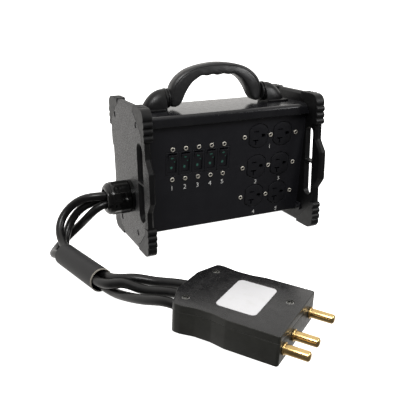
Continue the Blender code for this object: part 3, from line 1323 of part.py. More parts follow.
def build():
    clear_scene()
    box = add_empty("box_frame", location=(0.0, BOX_SHIFT, 0.0))
    panel = add_empty("panel_frame", box, (0.0, -PANEL_MID_FORWARD, PANEL_MID_HEIGHT), (PANEL_TILT, 0.0, 0.0))
    hinge = add_empty("handle_hinge", box, (0.0, 0.0, HANDLE_AXIS_Z))
    plug = add_empty("plug_frame", box, PLUG_PLACE, (0.0, PLUG_LIFT, PLUG_TURN))
    for side in (-1, 1):
        add_plate(side, box)
        add_guards(side, box)
        add_wall(side, box)
        add_pod(side, box)
    add_panel_openings(add_chassis(box), panel)
    add_cover(box)
    for row in range(DUPLEX_COUNT):
        add_receptacle(row, panel)
    for index in range(BREAKER_COUNT):
        add_breaker(index, panel)
        add_rocker(index, panel)
    add_line_bar(panel)
    add_bars(box)
    add_handle(hinge)
    add_gland(box)
    for name, cable in CABLES.items():
        add_cable(name, cable, box)
    add_sleeve(box)
    add_plug_shells(plug)
    add_plug_fittings(plug)


build()
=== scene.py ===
"""Looks of the power distribution box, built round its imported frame."""

import json
from math import asin, cos, pi, radians, sin, sqrt, tan

import bmesh
import bpy
from mathutils import Euler, Matrix, Vector


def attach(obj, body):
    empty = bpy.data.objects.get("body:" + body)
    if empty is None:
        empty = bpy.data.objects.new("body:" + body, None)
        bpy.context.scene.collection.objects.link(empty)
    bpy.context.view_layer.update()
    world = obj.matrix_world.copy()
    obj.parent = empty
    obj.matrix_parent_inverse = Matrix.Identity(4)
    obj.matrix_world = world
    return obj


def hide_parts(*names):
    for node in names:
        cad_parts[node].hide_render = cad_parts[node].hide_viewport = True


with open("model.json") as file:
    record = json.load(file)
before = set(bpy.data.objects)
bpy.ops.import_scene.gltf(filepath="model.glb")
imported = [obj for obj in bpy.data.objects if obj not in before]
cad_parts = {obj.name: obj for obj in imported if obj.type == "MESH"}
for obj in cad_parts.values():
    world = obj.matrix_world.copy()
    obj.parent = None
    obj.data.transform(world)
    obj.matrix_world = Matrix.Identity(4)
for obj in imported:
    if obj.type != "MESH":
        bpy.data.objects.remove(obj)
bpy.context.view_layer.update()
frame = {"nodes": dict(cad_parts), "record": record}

# Sizes, as in the part's source, in metres.
GAP = 0.0003
BOX_SHIFT = 0.0044
PLATE_OUTER, PLATE_INNER = 0.1336, 0.1232
HALF_DEPTH, HALF_UP = 0.07325, 0.0987
PLATE_CORNER, BEVEL_WIDTH, BEVEL_DEPTH, INNER_CHAMFER = 0.015, 0.007, 0.0015, 0.003
GRIP_STRIP, GRIP_OUT, GRIP_LOW, GRIP_HIGH, GRIP_SLOPE = 0.0083, 0.0122, 0.063, 0.1346, 0.0162
RECESS_DEEP, RECESS_LOW, RECESS_HIGH, RECESS_SLOPE = 0.006, 0.067, 0.1304, 0.008
SLOT_LOW, SLOT_HIGH, SLOT_WIDTH, SLOT_CHAMFER, SLOT_WEB = 0.049, 0.150, 0.0168, 0.003, 0.0024
GUARD_LEG_UP, GUARD_LEG_BACK, GUARD_STRIP, GUARD_WEB = 0.041, 0.0393, 0.008, 0.0312
GUARD_WEB_DROP, GUARD_WEB_LEAN, GUARD_TAIL_DROP = 0.0115, 0.0015, 0.0075
GUARD_OUT, GUARD_TOP_OUT, GUARD_VALLEY, GUARD_SEAT = 0.0034, 0.0014, 0.0004, 0.0025
OUTER_FLANGE, INNER_FLANGE = 0.002, 0.0023
PANEL_TILT, PANEL_FORWARD, PANEL_HEIGHT = radians(7.1), 0.0386, 0.0969
SHEET, SHEET_END = 0.002, 0.1202
PAN_BOTTOM, PAN_TOP, PAN_BEND = 0.0172, 0.172, 0.004
COVER_TOP, COVER_LIP, COVER_FORWARD, COVER_BEND, HEM_RADIUS = 0.183, 0.1685, 0.054, 0.0055, 0.0016
SCREW_PLACES = ((-0.0465, 0.1745), (0.0465, 0.1745), (-0.0358, 0.0253), (0.0358, 0.0253))
SCREW_RADIUS, SCREW_HEAD_RADIUS, SCREW_HEAD_THICK, SCREW_SUNK = 0.0019, 0.0039, 0.002, 0.0008
SCREW_PLAY = 0.0004
DUPLEX_X, DUPLEX_PITCH, FACE_SPACING, DUPLEX_SCREWS = 0.0658, 0.0458, 0.0389, 0.0833
FACE_WIDTH, FACE_HEIGHT, FACE_PROUD, FACE_PLAY_X, FACE_PLAY_Z = 0.0286, 0.0343, 0.0008, 0.0008, 0.0009
YOKE_LENGTH, YOKE_HEIGHT, YOKE_THICK = 0.106, 0.019, 0.0014
BODY_LENGTH, BODY_HEIGHT, BODY_DEPTH = 0.070, 0.0324, 0.026
BLADE_OFFSET, BLADE_BACK, GROUND_FORWARD = 0.00635, 0.004, 0.0079
BLADE_LENGTH, BLADE_SLOT = 0.0074, 0.0019
NEUTRAL_LENGTH, NEUTRAL_SLOT, NEUTRAL_BRANCH = 0.0086, 0.0022, 0.0062
GROUND_LENGTH, GROUND_WIDTH, CONTACT_DEPTH = 0.0064, 0.0052, 0.012
SHANK_RADIUS, HEAD_RADIUS, HEAD_THICK = 0.0017, 0.0034, 0.0012
BREAKER_X, BREAKER_PITCH, BREAKER_UP = -0.0452, 0.01905, 0.0185
BREAKER_WIDTH, BREAKER_HEIGHT, BREAKER_DEPTH, BREAKER_SCREWS = 0.0186, 0.054, 0.040, 0.0432
BEZEL_HEIGHT, BEZEL_SHIFT = 0.0326, 0.00085
ROCKER_UP, ROCKER_IN, ROCKER_TILT = 0.0206, 0.007, radians(8)
ROCKER_WIDTH, ROCKER_LENGTH, ROCKER_LOW_FACE, ROCKER_THICK = 0.012, 0.0252, 0.0016, 0.0079
POCKET_PLAY, POCKET_DEPTH, TRUNNION_RADIUS, TRUNNION_REACH = 0.00035, 0.0145, 0.0013, 0.002
HANDLE_AXIS_Z, HANDLE_TOP, HANDLE_SPAN, HANDLE_DEPTH = 0.1983, 0.2433, 0.0705, 0.0252
HANDLE_ARCH = (
    (0.0, 1.0, 0.0, 0.62, 1.0), (0.227, 0.976, 0.184, 0.62, 1.0), (0.462, 0.911, 0.362, 0.60, 1.0),
    (0.674, 0.796, 0.511, 0.489, 1.0), (0.851, 0.60, 0.617, 0.322, 1.0), (0.953, 0.40, 0.695, 0.133, 0.97),
    (0.996, 0.20, 0.755, -0.067, 0.9), (1.0, -0.044, 0.794, -0.165, 0.84), (0.99, -0.175, 0.83, -0.225, 0.72),
    (0.955, -0.262, 0.88, -0.268, 0.5),
)
# Finer than the part's: rounded rims and a groove with soft edges.
HANDLE_SECTION = (
    (0.0, 0.30), (0.008, 0.44), (0.03, 0.56), (0.06, 0.66), (0.11, 0.745), (0.16, 0.80), (0.205, 0.828),
    (0.218, 0.82), (0.228, 0.792), (0.24, 0.785), (0.252, 0.795), (0.262, 0.835), (0.275, 0.85), (0.40, 0.90),
    (0.58, 0.955), (0.75, 1.0), (0.88, 0.99), (0.94, 0.97), (0.975, 0.93), (1.0, 0.84),
)
FINGER_PITCH, FINGER_DEEP = 0.0165, 0.0012
PIVOT_RADIUS, PIVOT_PLAY, PIN_IN_LEG, PIN_IN_POD = 0.004, 0.0003, 0.0125, 0.019
COLLAR_RADIUS, COLLAR_LENGTH, GROOVE_RADIUS, GROOVE_LENGTH = 0.0133, 0.0022, 0.0118, 0.0016
POD_START, FLANGE_RADIUS = 0.0711, 0.0138
POD_BODY_START, POD_LENGTH, POD_HEIGHT, POD_HALF_WIDTH = 0.0773, 0.034, 0.028, 0.0145
POD_SKIRT_HEIGHT, POD_SKIRT_OUT = 0.0026, 0.0022
GLAND_Y, GLAND_Z, TUBE_RADIUS = -0.0106, 0.0709, 0.0178
NUT_START, NUT_END, NUT_RADIUS = 0.1387, 0.1712, 0.023
DOME_LENGTH, NUT_LOBES, LOBE_DEEP = 0.0115, 12, 0.0011
MOUTH_RADIUS, SEAL_END = 0.0138, 0.1607
CABLE_DIAMETER, CABLE_PLAY = 0.0113, 0.001
SLEEVE_START, SLEEVE_END = (-0.2355, -0.0423, 0.0147), (-0.2133, -0.1366, 0.0147)
SLEEVE_WALL, SLEEVE_TWIST = 0.0011, radians(-16.1)
SLEEVE_LEAD, PLUG_LEAD, GLAND_LEAD, SLEEVE_STATIONS = 0.003, 0.006, 0.001, 4
PLUG_PLACE, PLUG_TURN, PLUG_LIFT = (-0.0683, -0.3256, 0.0), radians(-52.4), radians(3.9)
PLUG_LENGTH, PLUG_WIDTH, PLUG_HEIGHT, PLUG_PARTING, PLUG_WAIST = 0.1242, 0.1012, 0.0327, 0.0248, 0.0031
PLUG_SHELL, PLUG_FLOOR, PLUG_TOP_SKIN, PLUG_EDGE, FRONT_WALL = 0.0038, 0.003, 0.0032, 0.0009, 0.012
PLUG_SCREWS = ((-0.1078, -0.0335), (-0.1078, 0.0335), (-0.0148, 0.0144))
PLUG_SCREW_RADIUS, PLUG_HEAD_RADIUS, PLUG_HEAD_SUNK, PLUG_HEAD_THICK = 0.0018, 0.0042, 0.0006, 0.0024
PLUG_SCREW_LENGTH, PLUG_BOSS_RADIUS = 0.020, 0.0062
PIN_PLACES = (("ground", -0.0390), ("neutral", -0.0125), ("hot", 0.0365))
PIN_HEIGHT, PIN_RADIUS, PIN_LENGTH = 0.0145, 0.005, 0.0268
RING_RADIUS, RING_LENGTH = 0.0062, 0.0018
PIN_SHANK, PIN_NUT_RADIUS, PIN_NUT_LENGTH, PIN_TIP = 0.0032, 0.0058, 0.006, 0.0022
LABEL_MID, LABEL_SIZE, LABEL_CORNER, LABEL_THICK = (-0.0555, 0.0003), (0.0435, 0.0615), 0.006, 0.0006
ENTRY_HEIGHT, ENTRY_MID, ENTRY_PITCH = 0.0155, -0.0047, 0.0215

# The marks on a rocker: their places across and along it, and how far they reach from there.
ROCKER_MARKS = ((-0.0004, 0.0082, 0.0022, 0.0012), (0.0034, 0.0022, 0.0009, 0.0011),
    (-0.0006, -0.0062, 0.0017, 0.0019))
MARK_LIFTS = (0.00002, 0.00006)
# The numbers at the receptacles: what they say, and their places across and up.
RECEPTACLE_NUMBERS = (("1", 0.0658, 0.0282), ("2", 0.0471, -0.0238), ("3", 0.0859, -0.0240),
    ("4", 0.0475, -0.0724), ("5", 0.0864, -0.0729))
# Stations along a pod, as shares of its length.
POD_SHARES = (0.0, 0.12, 0.25, 0.35, 0.45, 0.54, 0.62, 0.69, 0.76, 0.82, 0.87, 0.91, 0.95, 0.975, 0.99)
# How far a cutting shape reaches past what it cuts.
PAST = 0.001

SLOT_FRONT = GRIP_STRIP - HALF_DEPTH
DEVICE_BACK = SHEET + GAP
STRAND_OFFSET = (CABLE_DIAMETER + CABLE_PLAY) / sqrt(3)
SLEEVE_BORE = STRAND_OFFSET + CABLE_DIAMETER / 2 + GAP
SLEEVE_LENGTH = (Vector(SLEEVE_END) - Vector(SLEEVE_START)).length
CABLE_STEP = 0.0095
# Each cable: its angles in the gland and in the sleeve, its place in the plug, and its free points, in
# millimetres, from the gland to the sleeve and from the sleeve to the plug.
CABLES = {
    "cable_a": (
        radians(120), radians(57), 1,
        ((-184.5, -12, 77), (-195, -7, 75), (-207, 0.5, 68.5), (-218.5, 4, 58.5), (-228.5, 1, 46.5),
         (-233.5, -7, 35), (-234, -20.5, 25)),
        ((-198, -155.5, 22), (-182, -167.5, 24), (-164, -178.5, 21.5)),
    ),
    "cable_b": (
        0.0, radians(297), -1,
        ((-181.5, -2.5, 68), (-190, -0.5, 64), (-198.5, 3, 59), (-207.5, 6.5, 50), (-216.5, 6, 38),
         (-224.5, -1, 24.5), (-230.5, -17, 12.5)),
        ((-204, -159, 7), (-198, -181.5, 11.5), (-188, -207, 17.5)),
    ),
    "cable_c": (
        radians(240), radians(177), 0,
        ((-184, -12.5, 59), (-191.5, -7.5, 51), (-201, 5.5, 36), (-212.5, 12, 23.5), (-228, 8, 13),
         (-240.5, -5, 8), (-246, -21, 10)),
        ((-211.5, -158.5, 19.5), (-196.5, -174, 23.5), (-180.5, -192.5, 21)),
    ),
}


BOX = Matrix.Translation((0.0, BOX_SHIFT, 0.0))
PANEL = (BOX @ Matrix.Translation((0.0, -PANEL_FORWARD, PANEL_HEIGHT)) @ Matrix.Rotation(PANEL_TILT, 4, "X"))
HINGE = BOX @ Matrix.Translation((0.0, 0.0, HANDLE_AXIS_Z))
PLUG = BOX @ Matrix.Translation(PLUG_PLACE) @ Euler((0.0, PLUG_LIFT, PLUG_TURN)).to_matrix().to_4x4()


# Camera

def linked(name, data):
    item = bpy.data.objects.new(name, data)
    bpy.context.scene.collection.objects.link(item)
    return item


camera = linked("camera", bpy.data.cameras.new("camera"))
camera.data.lens = 52.92
camera.data.sensor_width = 36.0
camera.data.clip_start = 0.01
camera.location = (-0.3592, -0.7528 + BOX_SHIFT, 0.3159)
camera.rotation_euler = Euler((radians(71.80), radians(0.84), radians(-24.19)))
bpy.context.scene.camera = camera


# Materials

class Nodes:
    """Short calls to build one node tree, a material's or the world's."""

    def __init__(self, owner):
        owner.use_nodes = True
        self.owner, self.tree = owner, owner.node_tree
        self.places = self.add("ShaderNodeTexCoord").outputs

    def fill(self, slot, value):
        """Sets a socket to a number or to a colour in thousandths, or links another node's output to it."""
        if isinstance(value, (int, float)):
            slot.default_value = value
        elif isinstance(value, tuple):
            slot.default_value = (*[part / 1000 for part in value], 1.0)
        else:
            self.tree.links.new(value, slot)

    def add(self, kind, sockets=(), **settings):
        node = self.tree.nodes.new(kind)
        for key, value in settings.items():
            setattr(node, key, value)
        for key, value in dict(sockets).items():
            self.fill(node.inputs[key], value)
        return node

    def noise(self, scale, detail=3.0, roughness=0.6):
        return self.add("ShaderNodeTexNoise", {"Vector": self.places["Object"], "Scale": scale,
            "Detail": detail, "Roughness": roughness}).outputs["Fac"]

    def cells(self, scale):
        return self.add("ShaderNodeTexVoronoi", {"Vector": self.places["Object"], "Scale": scale,
            "Smoothness": 0.6}, feature="SMOOTH_F1").outputs["Distance"]

    def span(self, value, low, high, to_low=0.0, to_high=1.0, kind="LINEAR"):
        sockets = {"Value": value, "From Min": low, "From Max": high, "To Min": to_low, "To Max": to_high}
        return self.add("ShaderNodeMapRange", sockets, interpolation_type=kind).outputs["Result"]

    def math(self, operation, a, b):
        return self.add("ShaderNodeMath", {0: a, 1: b}, operation=operation).outputs[0]

    def blend(self, factor, first, second):
        return self.add("ShaderNodeMix", {"Factor": factor, 6: first, 7: second}, data_type="RGBA").outputs[2]

    def edges(self, radius=0.0009):
        """1 along the piece's edges and 0 elsewhere, broken up in patches as rubbing is. The lighter colour
        laid with it is partly rubbing and partly a painted highlight.
        """
        soft = self.add("ShaderNodeBevel", {"Radius": radius}, samples=4).outputs["Normal"]
        plain = self.add("ShaderNodeNewGeometry").outputs["Normal"]
        dot = self.add("ShaderNodeVectorMath", {0: soft, 1: plain}, operation="DOT_PRODUCT").outputs["Value"]
        patches = self.span(self.noise(260.0), 0.4, 0.62, 0.15)
        return self.math("MULTIPLY", self.span(dot, 0.99, 0.85), patches)

    def bump(self, height, strength, distance):
        node = self.add("ShaderNodeBump", {"Height": height, "Strength": strength, "Distance": distance})
        self.finish(Normal=node.outputs["Normal"])

    def finish(self, **values):
        for key, value in values.items():
            self.fill(self.tree.nodes["Principled BSDF"].inputs[key.replace("_", " ")], value)
        return self.owner


def plastic(name, dark, light, rough, grain, bump, specular, wear_and_glint):
    """Moulded black plastic or paint: mottled colour, fine grain and edges lightened, partly as rubbing and
    partly as a painted highlight.
    """
    n = Nodes(bpy.data.materials.new(name))
    colour = n.blend(n.span(n.noise(45.0, 4.0), 0.35, 0.7), dark, light)
    # Edges painted lighter: partly rubbing, partly a painted highlight.
    colour = n.blend(n.math("MULTIPLY", n.edges(), wear_and_glint), colour, tuple(c * 2.2 + 12 for c in light))
    roughness = n.span(n.noise(170.0, 4.0), 0.3, 0.7, rough - 0.06, rough + 0.07)
    n.bump(n.noise(grain), bump, 0.0002)
    return n.finish(Base_Color=colour, Roughness=roughness, Specular_IOR_Level=specular)


def pebbled(name, dark, light, rough):
    """Hair cell textured sheet: raised pebbles with shiny crowns and dull valleys, the crowns carrying a
    painted highlight.
    """
    n = Nodes(bpy.data.materials.new(name))
    warp = n.math("MULTIPLY", n.noise(420.0, 2.0), 0.7)
    height = n.math("ADD", n.math("MULTIPLY", n.cells(620.0), 0.6), warp)
    # Painted highlight: the pebble crowns are painted lighter than the valleys.
    lit_pebble_crowns = n.math("MULTIPLY", n.span(height, 0.45, 0.75), 0.6)
    colour = n.blend(n.math("ADD", lit_pebble_crowns, n.span(n.noise(60.0, 4.0), 0.3, 0.7, 0.0, 0.5)), dark, light)
    # Edges painted lighter: partly rubbing, partly a painted highlight.
    colour = n.blend(n.math("MULTIPLY", n.edges(0.0012), 0.6), colour, tuple(c * 2 + 40 for c in light))
    n.bump(height, 1.0, 0.0009)
    return n.finish(Base_Color=colour, Roughness=n.span(height, 0.4, 0.8, rough, rough - 0.15),
        Specular_IOR_Level=0.5)


def metal(name, dark, light, rough):
    """Bare metal with handling marks and patchy tarnish."""
    n = Nodes(bpy.data.materials.new(name))
    n.bump(n.noise(1400.0, 2.0), 0.03, 0.0001)
    return n.finish(Base_Color=n.blend(n.span(n.noise(60.0, 4.0), 0.42, 0.75), light, dark), Metallic=1.0,
        Roughness=n.span(n.noise(300.0, 4.0), 0.3, 0.7, rough - 0.05, rough + 0.07))


def rubber(name, dark, light, rough):
    """Extruded satin rubber with chalky scuffs, as on a cable's jacket."""
    n = Nodes(bpy.data.materials.new(name))
    scuffs = n.span(n.noise(130.0, 6.0, 0.7), 0.5, 0.78)
    n.bump(n.noise(500.0), 0.06, 0.0002)
    return n.finish(Base_Color=n.blend(scuffs, dark, light), Specular_IOR_Level=0.45,
        Roughness=n.span(scuffs, 0.0, 1.0, rough, rough + 0.1))


def film(name, colour, stain, rough):
    """Printed or painted film with faint soiling."""
    n = Nodes(bpy.data.materials.new(name))
    n.bump(n.noise(700.0, 2.0), 0.06, 0.0002)
    spots = n.span(n.noise(95.0, 5.0, 0.65), 0.5, 0.85, 0.0, 0.6)
    return n.finish(Base_Color=n.blend(spots, colour, stain), Roughness=rough)


# Each look: its maker, name, two colours and roughness. Plastic also has the grain's scale and height, the
# gloss and how much the edges are lightened, partly as rubbing and partly as a painted highlight. Colours are
# in thousandths.
LOOKS = {name: maker(name, *values) for maker, name, *values in (
    (pebbled, "pebbled_black", (6, 6, 6.5), (64, 64, 66), 0.46),
    (plastic, "guard_rubber", (5, 5, 5.5), (9, 9, 9.5), 0.42, 700.0, 0.3, 0.32, 0.6),
    (plastic, "plate_edge", (5, 5, 5.5), (8, 8, 8.5), 0.42, 800.0, 0.3, 0.25, 0.9),
    (plastic, "panel_paint", (13, 13, 16.2), (16.5, 16.5, 20), 0.38, 1600.0, 0.2, 0.4, 0.2),
    (plastic, "cover_paint", (11, 11, 13), (14, 14, 16), 0.18, 1200.0, 0.04, 0.42, 0.2),
    (plastic, "gloss_black", (2, 2, 2), (4, 4, 4), 0.12, 500.0, 0.04, 0.5, 0.1),
    (plastic, "satin_black", (20, 20, 20.8), (29, 29, 30), 0.34, 1100.0, 0.15, 0.5, 0.35),
    (plastic, "pod_black", (7, 7, 7.5), (11, 11, 11.5), 0.33, 1100.0, 0.15, 0.38, 0.3),
    (plastic, "device_black", (12, 12, 15), (15.5, 15.5, 18.5), 0.34, 1300.0, 0.12, 0.4, 0.2),
    (plastic, "plug_grey", (24, 24.5, 21.5), (36, 36.5, 32.5), 0.36, 800.0, 0.3, 0.5, 0.7),
    # A darker, glossier copy of the plug plastic for its top faces: painted shade.
    (plastic, "plug_top_shade", (6, 6, 6.8), (9, 9, 10), 0.25, 1500.0, 0.04, 0.65, 0.4),
    (rubber, "cable_jacket", (6, 6, 6.2), (14, 14, 14.5), 0.3),
    (rubber, "sleeve_grey", (8, 8, 9), (17, 17, 19), 0.5),
    # Pale colour for the sleeve's rim: a painted highlight.
    (rubber, "sleeve_rim_highlight", (300, 280, 240), (420, 400, 350), 0.5),
    (rubber, "seal_rubber", (8, 8, 8), (20, 20, 20), 0.6),
    (metal, "brass", (620, 410, 160), (840, 600, 270), 0.22),
    (metal, "copper", (400, 180, 90), (800, 420, 260), 0.3),
    (metal, "nickel", (800, 760, 660), (940, 910, 830), 0.56),
    (metal, "zinc", (300, 300, 290), (580, 580, 560), 0.3),
    (film, "label_film", (770, 770, 790), (660, 660, 640), 0.35),
    (film, "white_ink", (800, 800, 780), (600, 600, 580), 0.5),
    (film, "green_mark", (45, 160, 120), (30, 100, 80), 0.4),
    (plastic, "insulator_red", (250, 20, 15), (350, 40, 30), 0.45, 900.0, 0.2, 0.5, 0.5),
    # A dull near-black for a screw's recess: painted shade.
    (plastic, "painted_recess_shade", (2, 2, 2), (4, 4, 4), 0.7, 900.0, 0.1, 0.1, 0.0),
)}
# Slots of the part whose look has another name.
SLOT_LOOKS = {"plug_plastic": "plug_grey", "steel": "zinc", "black_plastic": "satin_black"}


# Shapes

def sweep(whole, steps):
    """Values from nothing to the whole in even steps, both ends kept."""
    return [whole * k / steps for k in range(steps + 1)]


def loft(rings, bm=None, loop=False):
    """Skins rings of equal count. The end rings are capped unless the run closes on itself."""
    if bm is None:
        bm = bmesh.new()
    rows = [[bm.verts.new(point) for point in ring] for ring in rings]
    for low, high in zip(rows, rows[1:] + rows[:1] if loop else rows[1:]):
        for i in range(len(low)):
            j = (i + 1) % len(low)
            bm.faces.new((low[i], low[j], high[j], high[i]))
    if not loop:
        bm.faces.new(rows[0][::-1])
        bm.faces.new(rows[-1])
    return bm


def along_x(outline, x):
    return [(x, a, b) for a, b in outline]


def along_y(outline, y):
    return [(a, y, b) for a, b in outline]


def along_z(outline, z):
    return [(a, b, z) for a, b in outline]


def prism(outline, way, low, high, bm=None):
    return loft([way(outline, low), way(outline, high)], bm)


def circle(radius, sides, centre=(0.0, 0.0)):
    return [(centre[0] + radius * cos(t), centre[1] + radius * sin(t)) for t in sweep(2 * pi, sides)[:-1]]


def turned(profile, sides, way, centre=(0.0, 0.0), bm=None, loop=False):
    return loft([way(circle(radius, sides, centre), at) for at, radius in profile], bm, loop)


def turns_of(corners):
    """Each corner with the ways into it and out of it and how far it turns."""
    for i, here in enumerate(corners):
        before, after = corners[i - 1], corners[(i + 1) % len(corners)]
        a = Vector((here[0] - before[0], here[1] - before[1])).normalized()
        b = Vector((after[0] - here[0], after[1] - here[1])).normalized()
        yield (*here, a, b, asin(max(-1.0, min(1.0, a.x * b.y - a.y * b.x))))


def inset_corners(corners, inset):
    moved = []
    for x, y, radius, a, b, turn in turns_of(corners):
        normal_a, normal_b = Vector((-a.y, a.x)), Vector((-b.y, b.x))
        middle = (normal_a + normal_b).normalized()
        shift = middle * (inset / middle.dot(normal_a))
        rounding = radius - inset if turn > 0 else radius + inset
        moved.append((x + shift.x, y + shift.y, max(rounding, GAP)))
    return moved


def rounded(corners, steps):
    points = []
    for x, y, radius, a, _, turn in turns_of(corners):
        if radius == 0 or abs(turn) < radians(1):
            points.append((x, y))
            continue
        reach = radius * tan(abs(turn) / 2)
        start = Vector((x, y)) - a * reach
        centre = start + Vector((-a.y, a.x)) * radius * (1 if turn > 0 else -1)
        arm = start - centre
        for angle in sweep(turn, max(1, round(steps * abs(turn) / radians(90)))):
            points.append((centre.x + arm.x * cos(angle) - arm.y * sin(angle),
                centre.y + arm.x * sin(angle) + arm.y * cos(angle)))
    return points


def inset_ring(corners, inset, steps):
    return rounded(inset_corners(corners, inset) if inset else corners, steps)


def rectangle(half_x, half_y, radius, centre=(0.0, 0.0)):
    cx, cy = centre
    return [(cx - half_x, cy - half_y, radius), (cx + half_x, cy - half_y, radius),
        (cx + half_x, cy + half_y, radius), (cx - half_x, cy + half_y, radius)]


def rims(low, high, edge, far_edge=None, ease=4):
    """Places and insets, from low to high, that round both rims over."""
    far_edge = far_edge or edge
    way = 1 if high > low else -1
    turns = sweep(pi / 2, ease)
    near = [(low + way * edge * (1 - cos(t)), edge * (1 - sin(t))) for t in turns]
    return near + [(high - way * far_edge * (1 - cos(t)), far_edge * (1 - sin(t))) for t in reversed(turns)]


def eased(corners, way, low, high, edge, steps=8, ease=4, far_edge=None):
    """A prism of rounded corners with both rims rounded over."""
    levels = rims(low, high, edge, far_edge, ease)
    return loft([way(inset_ring(corners, inset, steps), at) for at, inset in levels])


def make(name, bm, look, space=BOX, sharp=35):
    """A piece in the row frame, its faces pointing out. Its look is a name or a material."""
    bmesh.ops.recalc_face_normals(bm, faces=bm.faces)
    mesh = bpy.data.meshes.new(name)
    bm.to_mesh(mesh)
    bm.free()
    mesh.materials.append(LOOKS.get(look, look))
    mesh.shade_smooth()
    mesh.set_sharp_from_angle(angle=radians(sharp))
    piece = linked(name, mesh)
    piece.matrix_world = space
    return piece


def ride(piece, slot, *replaces, body="box"):
    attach(piece, body)
    if replaces:
        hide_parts(*replaces)
    return piece


def carve(piece, tool_bm, operation="DIFFERENCE"):
    """Cuts a shape out of a piece, or joins it on, for good."""
    tool = make(piece.name + "_tool", tool_bm, piece.data.materials[0], piece.matrix_world.copy())
    modifier = piece.modifiers.new("carve", "BOOLEAN")
    modifier.object, modifier.operation, modifier.solver = tool, operation, "EXACT"
    graph = bpy.context.evaluated_depsgraph_get()
    mesh = bpy.data.meshes.new_from_object(piece.evaluated_get(graph))
    piece.modifiers.clear()
    old = piece.data
    piece.data = mesh
    bpy.data.meshes.remove(old)
    bpy.data.objects.remove(tool, do_unlink=True)
    mesh.shade_smooth()
    mesh.set_sharp_from_angle(angle=radians(35))


def as_tool(piece):
    """A piece's shape, to carve others with. The piece itself goes."""
    shape = bmesh.new()
    shape.from_mesh(piece.data)
    bpy.data.objects.remove(piece, do_unlink=True)
    return shape


def soften(piece, width):
    """Rounds a piece's sharp edges."""
    modifier = piece.modifiers.new("soften", "BEVEL")
    modifier.width, modifier.segments, modifier.limit_method = width, 2, "ANGLE"
    modifier.angle_limit = radians(40)
    modifier.harden_normals = True
    modifier.miter_outer = "MITER_ARC"


# Cables

def smooth_curve(points, spans):
    """Points of a curve through the given ones, each stretch weighed by its length where two meet."""
    lengths = [(b - a).length for a, b in zip(points, points[1:])]
    slopes = [(b - a) / length for a, b, length in zip(points, points[1:], lengths)]
    ways = [slopes[0]]
    for before, after, slope, following in zip(lengths, lengths[1:], slopes, slopes[1:]):
        ways.append((slope * after + following * before) / (before + after))
    ways.append(slopes[-1])
    curve = []
    for i, length in enumerate(lengths):
        for k in range(spans):
            t = k / spans
            curve.append(points[i] * (2 * t ** 3 - 3 * t ** 2 + 1) + points[i + 1] * (3 * t ** 2 - 2 * t ** 3)
                + (ways[i] * (t ** 3 - 2 * t ** 2 + t) + ways[i + 1] * (t ** 3 - t ** 2)) * length)
    return curve + [points[-1]]


def even_points(curve, step):
    """The same curve with one point about every step, both ends kept."""
    lengths = [0.0]
    for a, b in zip(curve, curve[1:]):
        lengths.append(lengths[-1] + (b - a).length)
    count = max(2, round(lengths[-1] / step))
    points, i = [], 0
    for k in range(count + 1):
        target = lengths[-1] * k / count
        while i < len(curve) - 2 and lengths[i + 1] < target:
            i += 1
        share = (target - lengths[i]) / (lengths[i + 1] - lengths[i])
        points.append(curve[i].lerp(curve[i + 1], min(1.0, share)))
    return points


def sleeve_point(along, turn, radius):
    """A point beside the sleeve's middle line, in the row frame."""
    start, end = Vector(SLEEVE_START), Vector(SLEEVE_END)
    ahead = (end - start).normalized()
    right = Vector((-ahead.y, ahead.x, 0.0))
    return start + ahead * along + (right * cos(turn) + Vector((0, 0, 1)) * sin(turn)) * radius


def cable_route(cable):
    """Stations along a cable's middle, in the row frame: gland, sleeve and plug with free points between."""
    turn, sleeve_turn, entry, drop, run = cable
    y, z = GLAND_Y + STRAND_OFFSET * cos(turn), GLAND_Z + STRAND_OFFSET * sin(turn)
    points = [Vector((-x, y, z)) for x in (SEAL_END + GAP, NUT_END + GLAND_LEAD)]
    points += [Vector([mm / 1000 for mm in point]) for point in drop]
    inside = sweep(SLEEVE_LENGTH, SLEEVE_STATIONS)
    for along in [-SLEEVE_LEAD] + inside + [SLEEVE_LENGTH + SLEEVE_LEAD]:
        twist = SLEEVE_TWIST * max(0.0, min(1.0, along / SLEEVE_LENGTH))
        points.append(sleeve_point(along, sleeve_turn + twist, STRAND_OFFSET))
    points += [Vector([mm / 1000 for mm in point]) for point in run]
    across = ENTRY_MID + entry * ENTRY_PITCH
    rear = -PLUG_LENGTH - GAP
    end = [PLUG @ Vector((x, across, ENTRY_HEIGHT)) for x in (rear - PLUG_LEAD, rear)]
    return [BOX @ point for point in points] + end


def add_cable(name, cable):
    points = even_points(smooth_curve(cable_route(cable), 16), CABLE_STEP)
    curve = bpy.data.curves.new(name + "_jacket", "CURVE")
    curve.dimensions = "3D"
    curve.bevel_depth = CABLE_DIAMETER / 2 - 0.0001
    curve.bevel_resolution = 8
    curve.resolution_u = 6
    curve.use_fill_caps = True
    spline = curve.splines.new("BEZIER")
    spline.bezier_points.add(len(points) - 1)
    for slot, point in zip(spline.bezier_points, points):
        slot.co = point
        slot.handle_left_type = slot.handle_right_type = "AUTO"
    curve.materials.append(LOOKS["cable_jacket"])
    piece = ride(linked(name + "_jacket", curve), "cable_jacket", name)
    return piece, points[0], sum((b - a).length for a, b in zip(points, points[1:]))


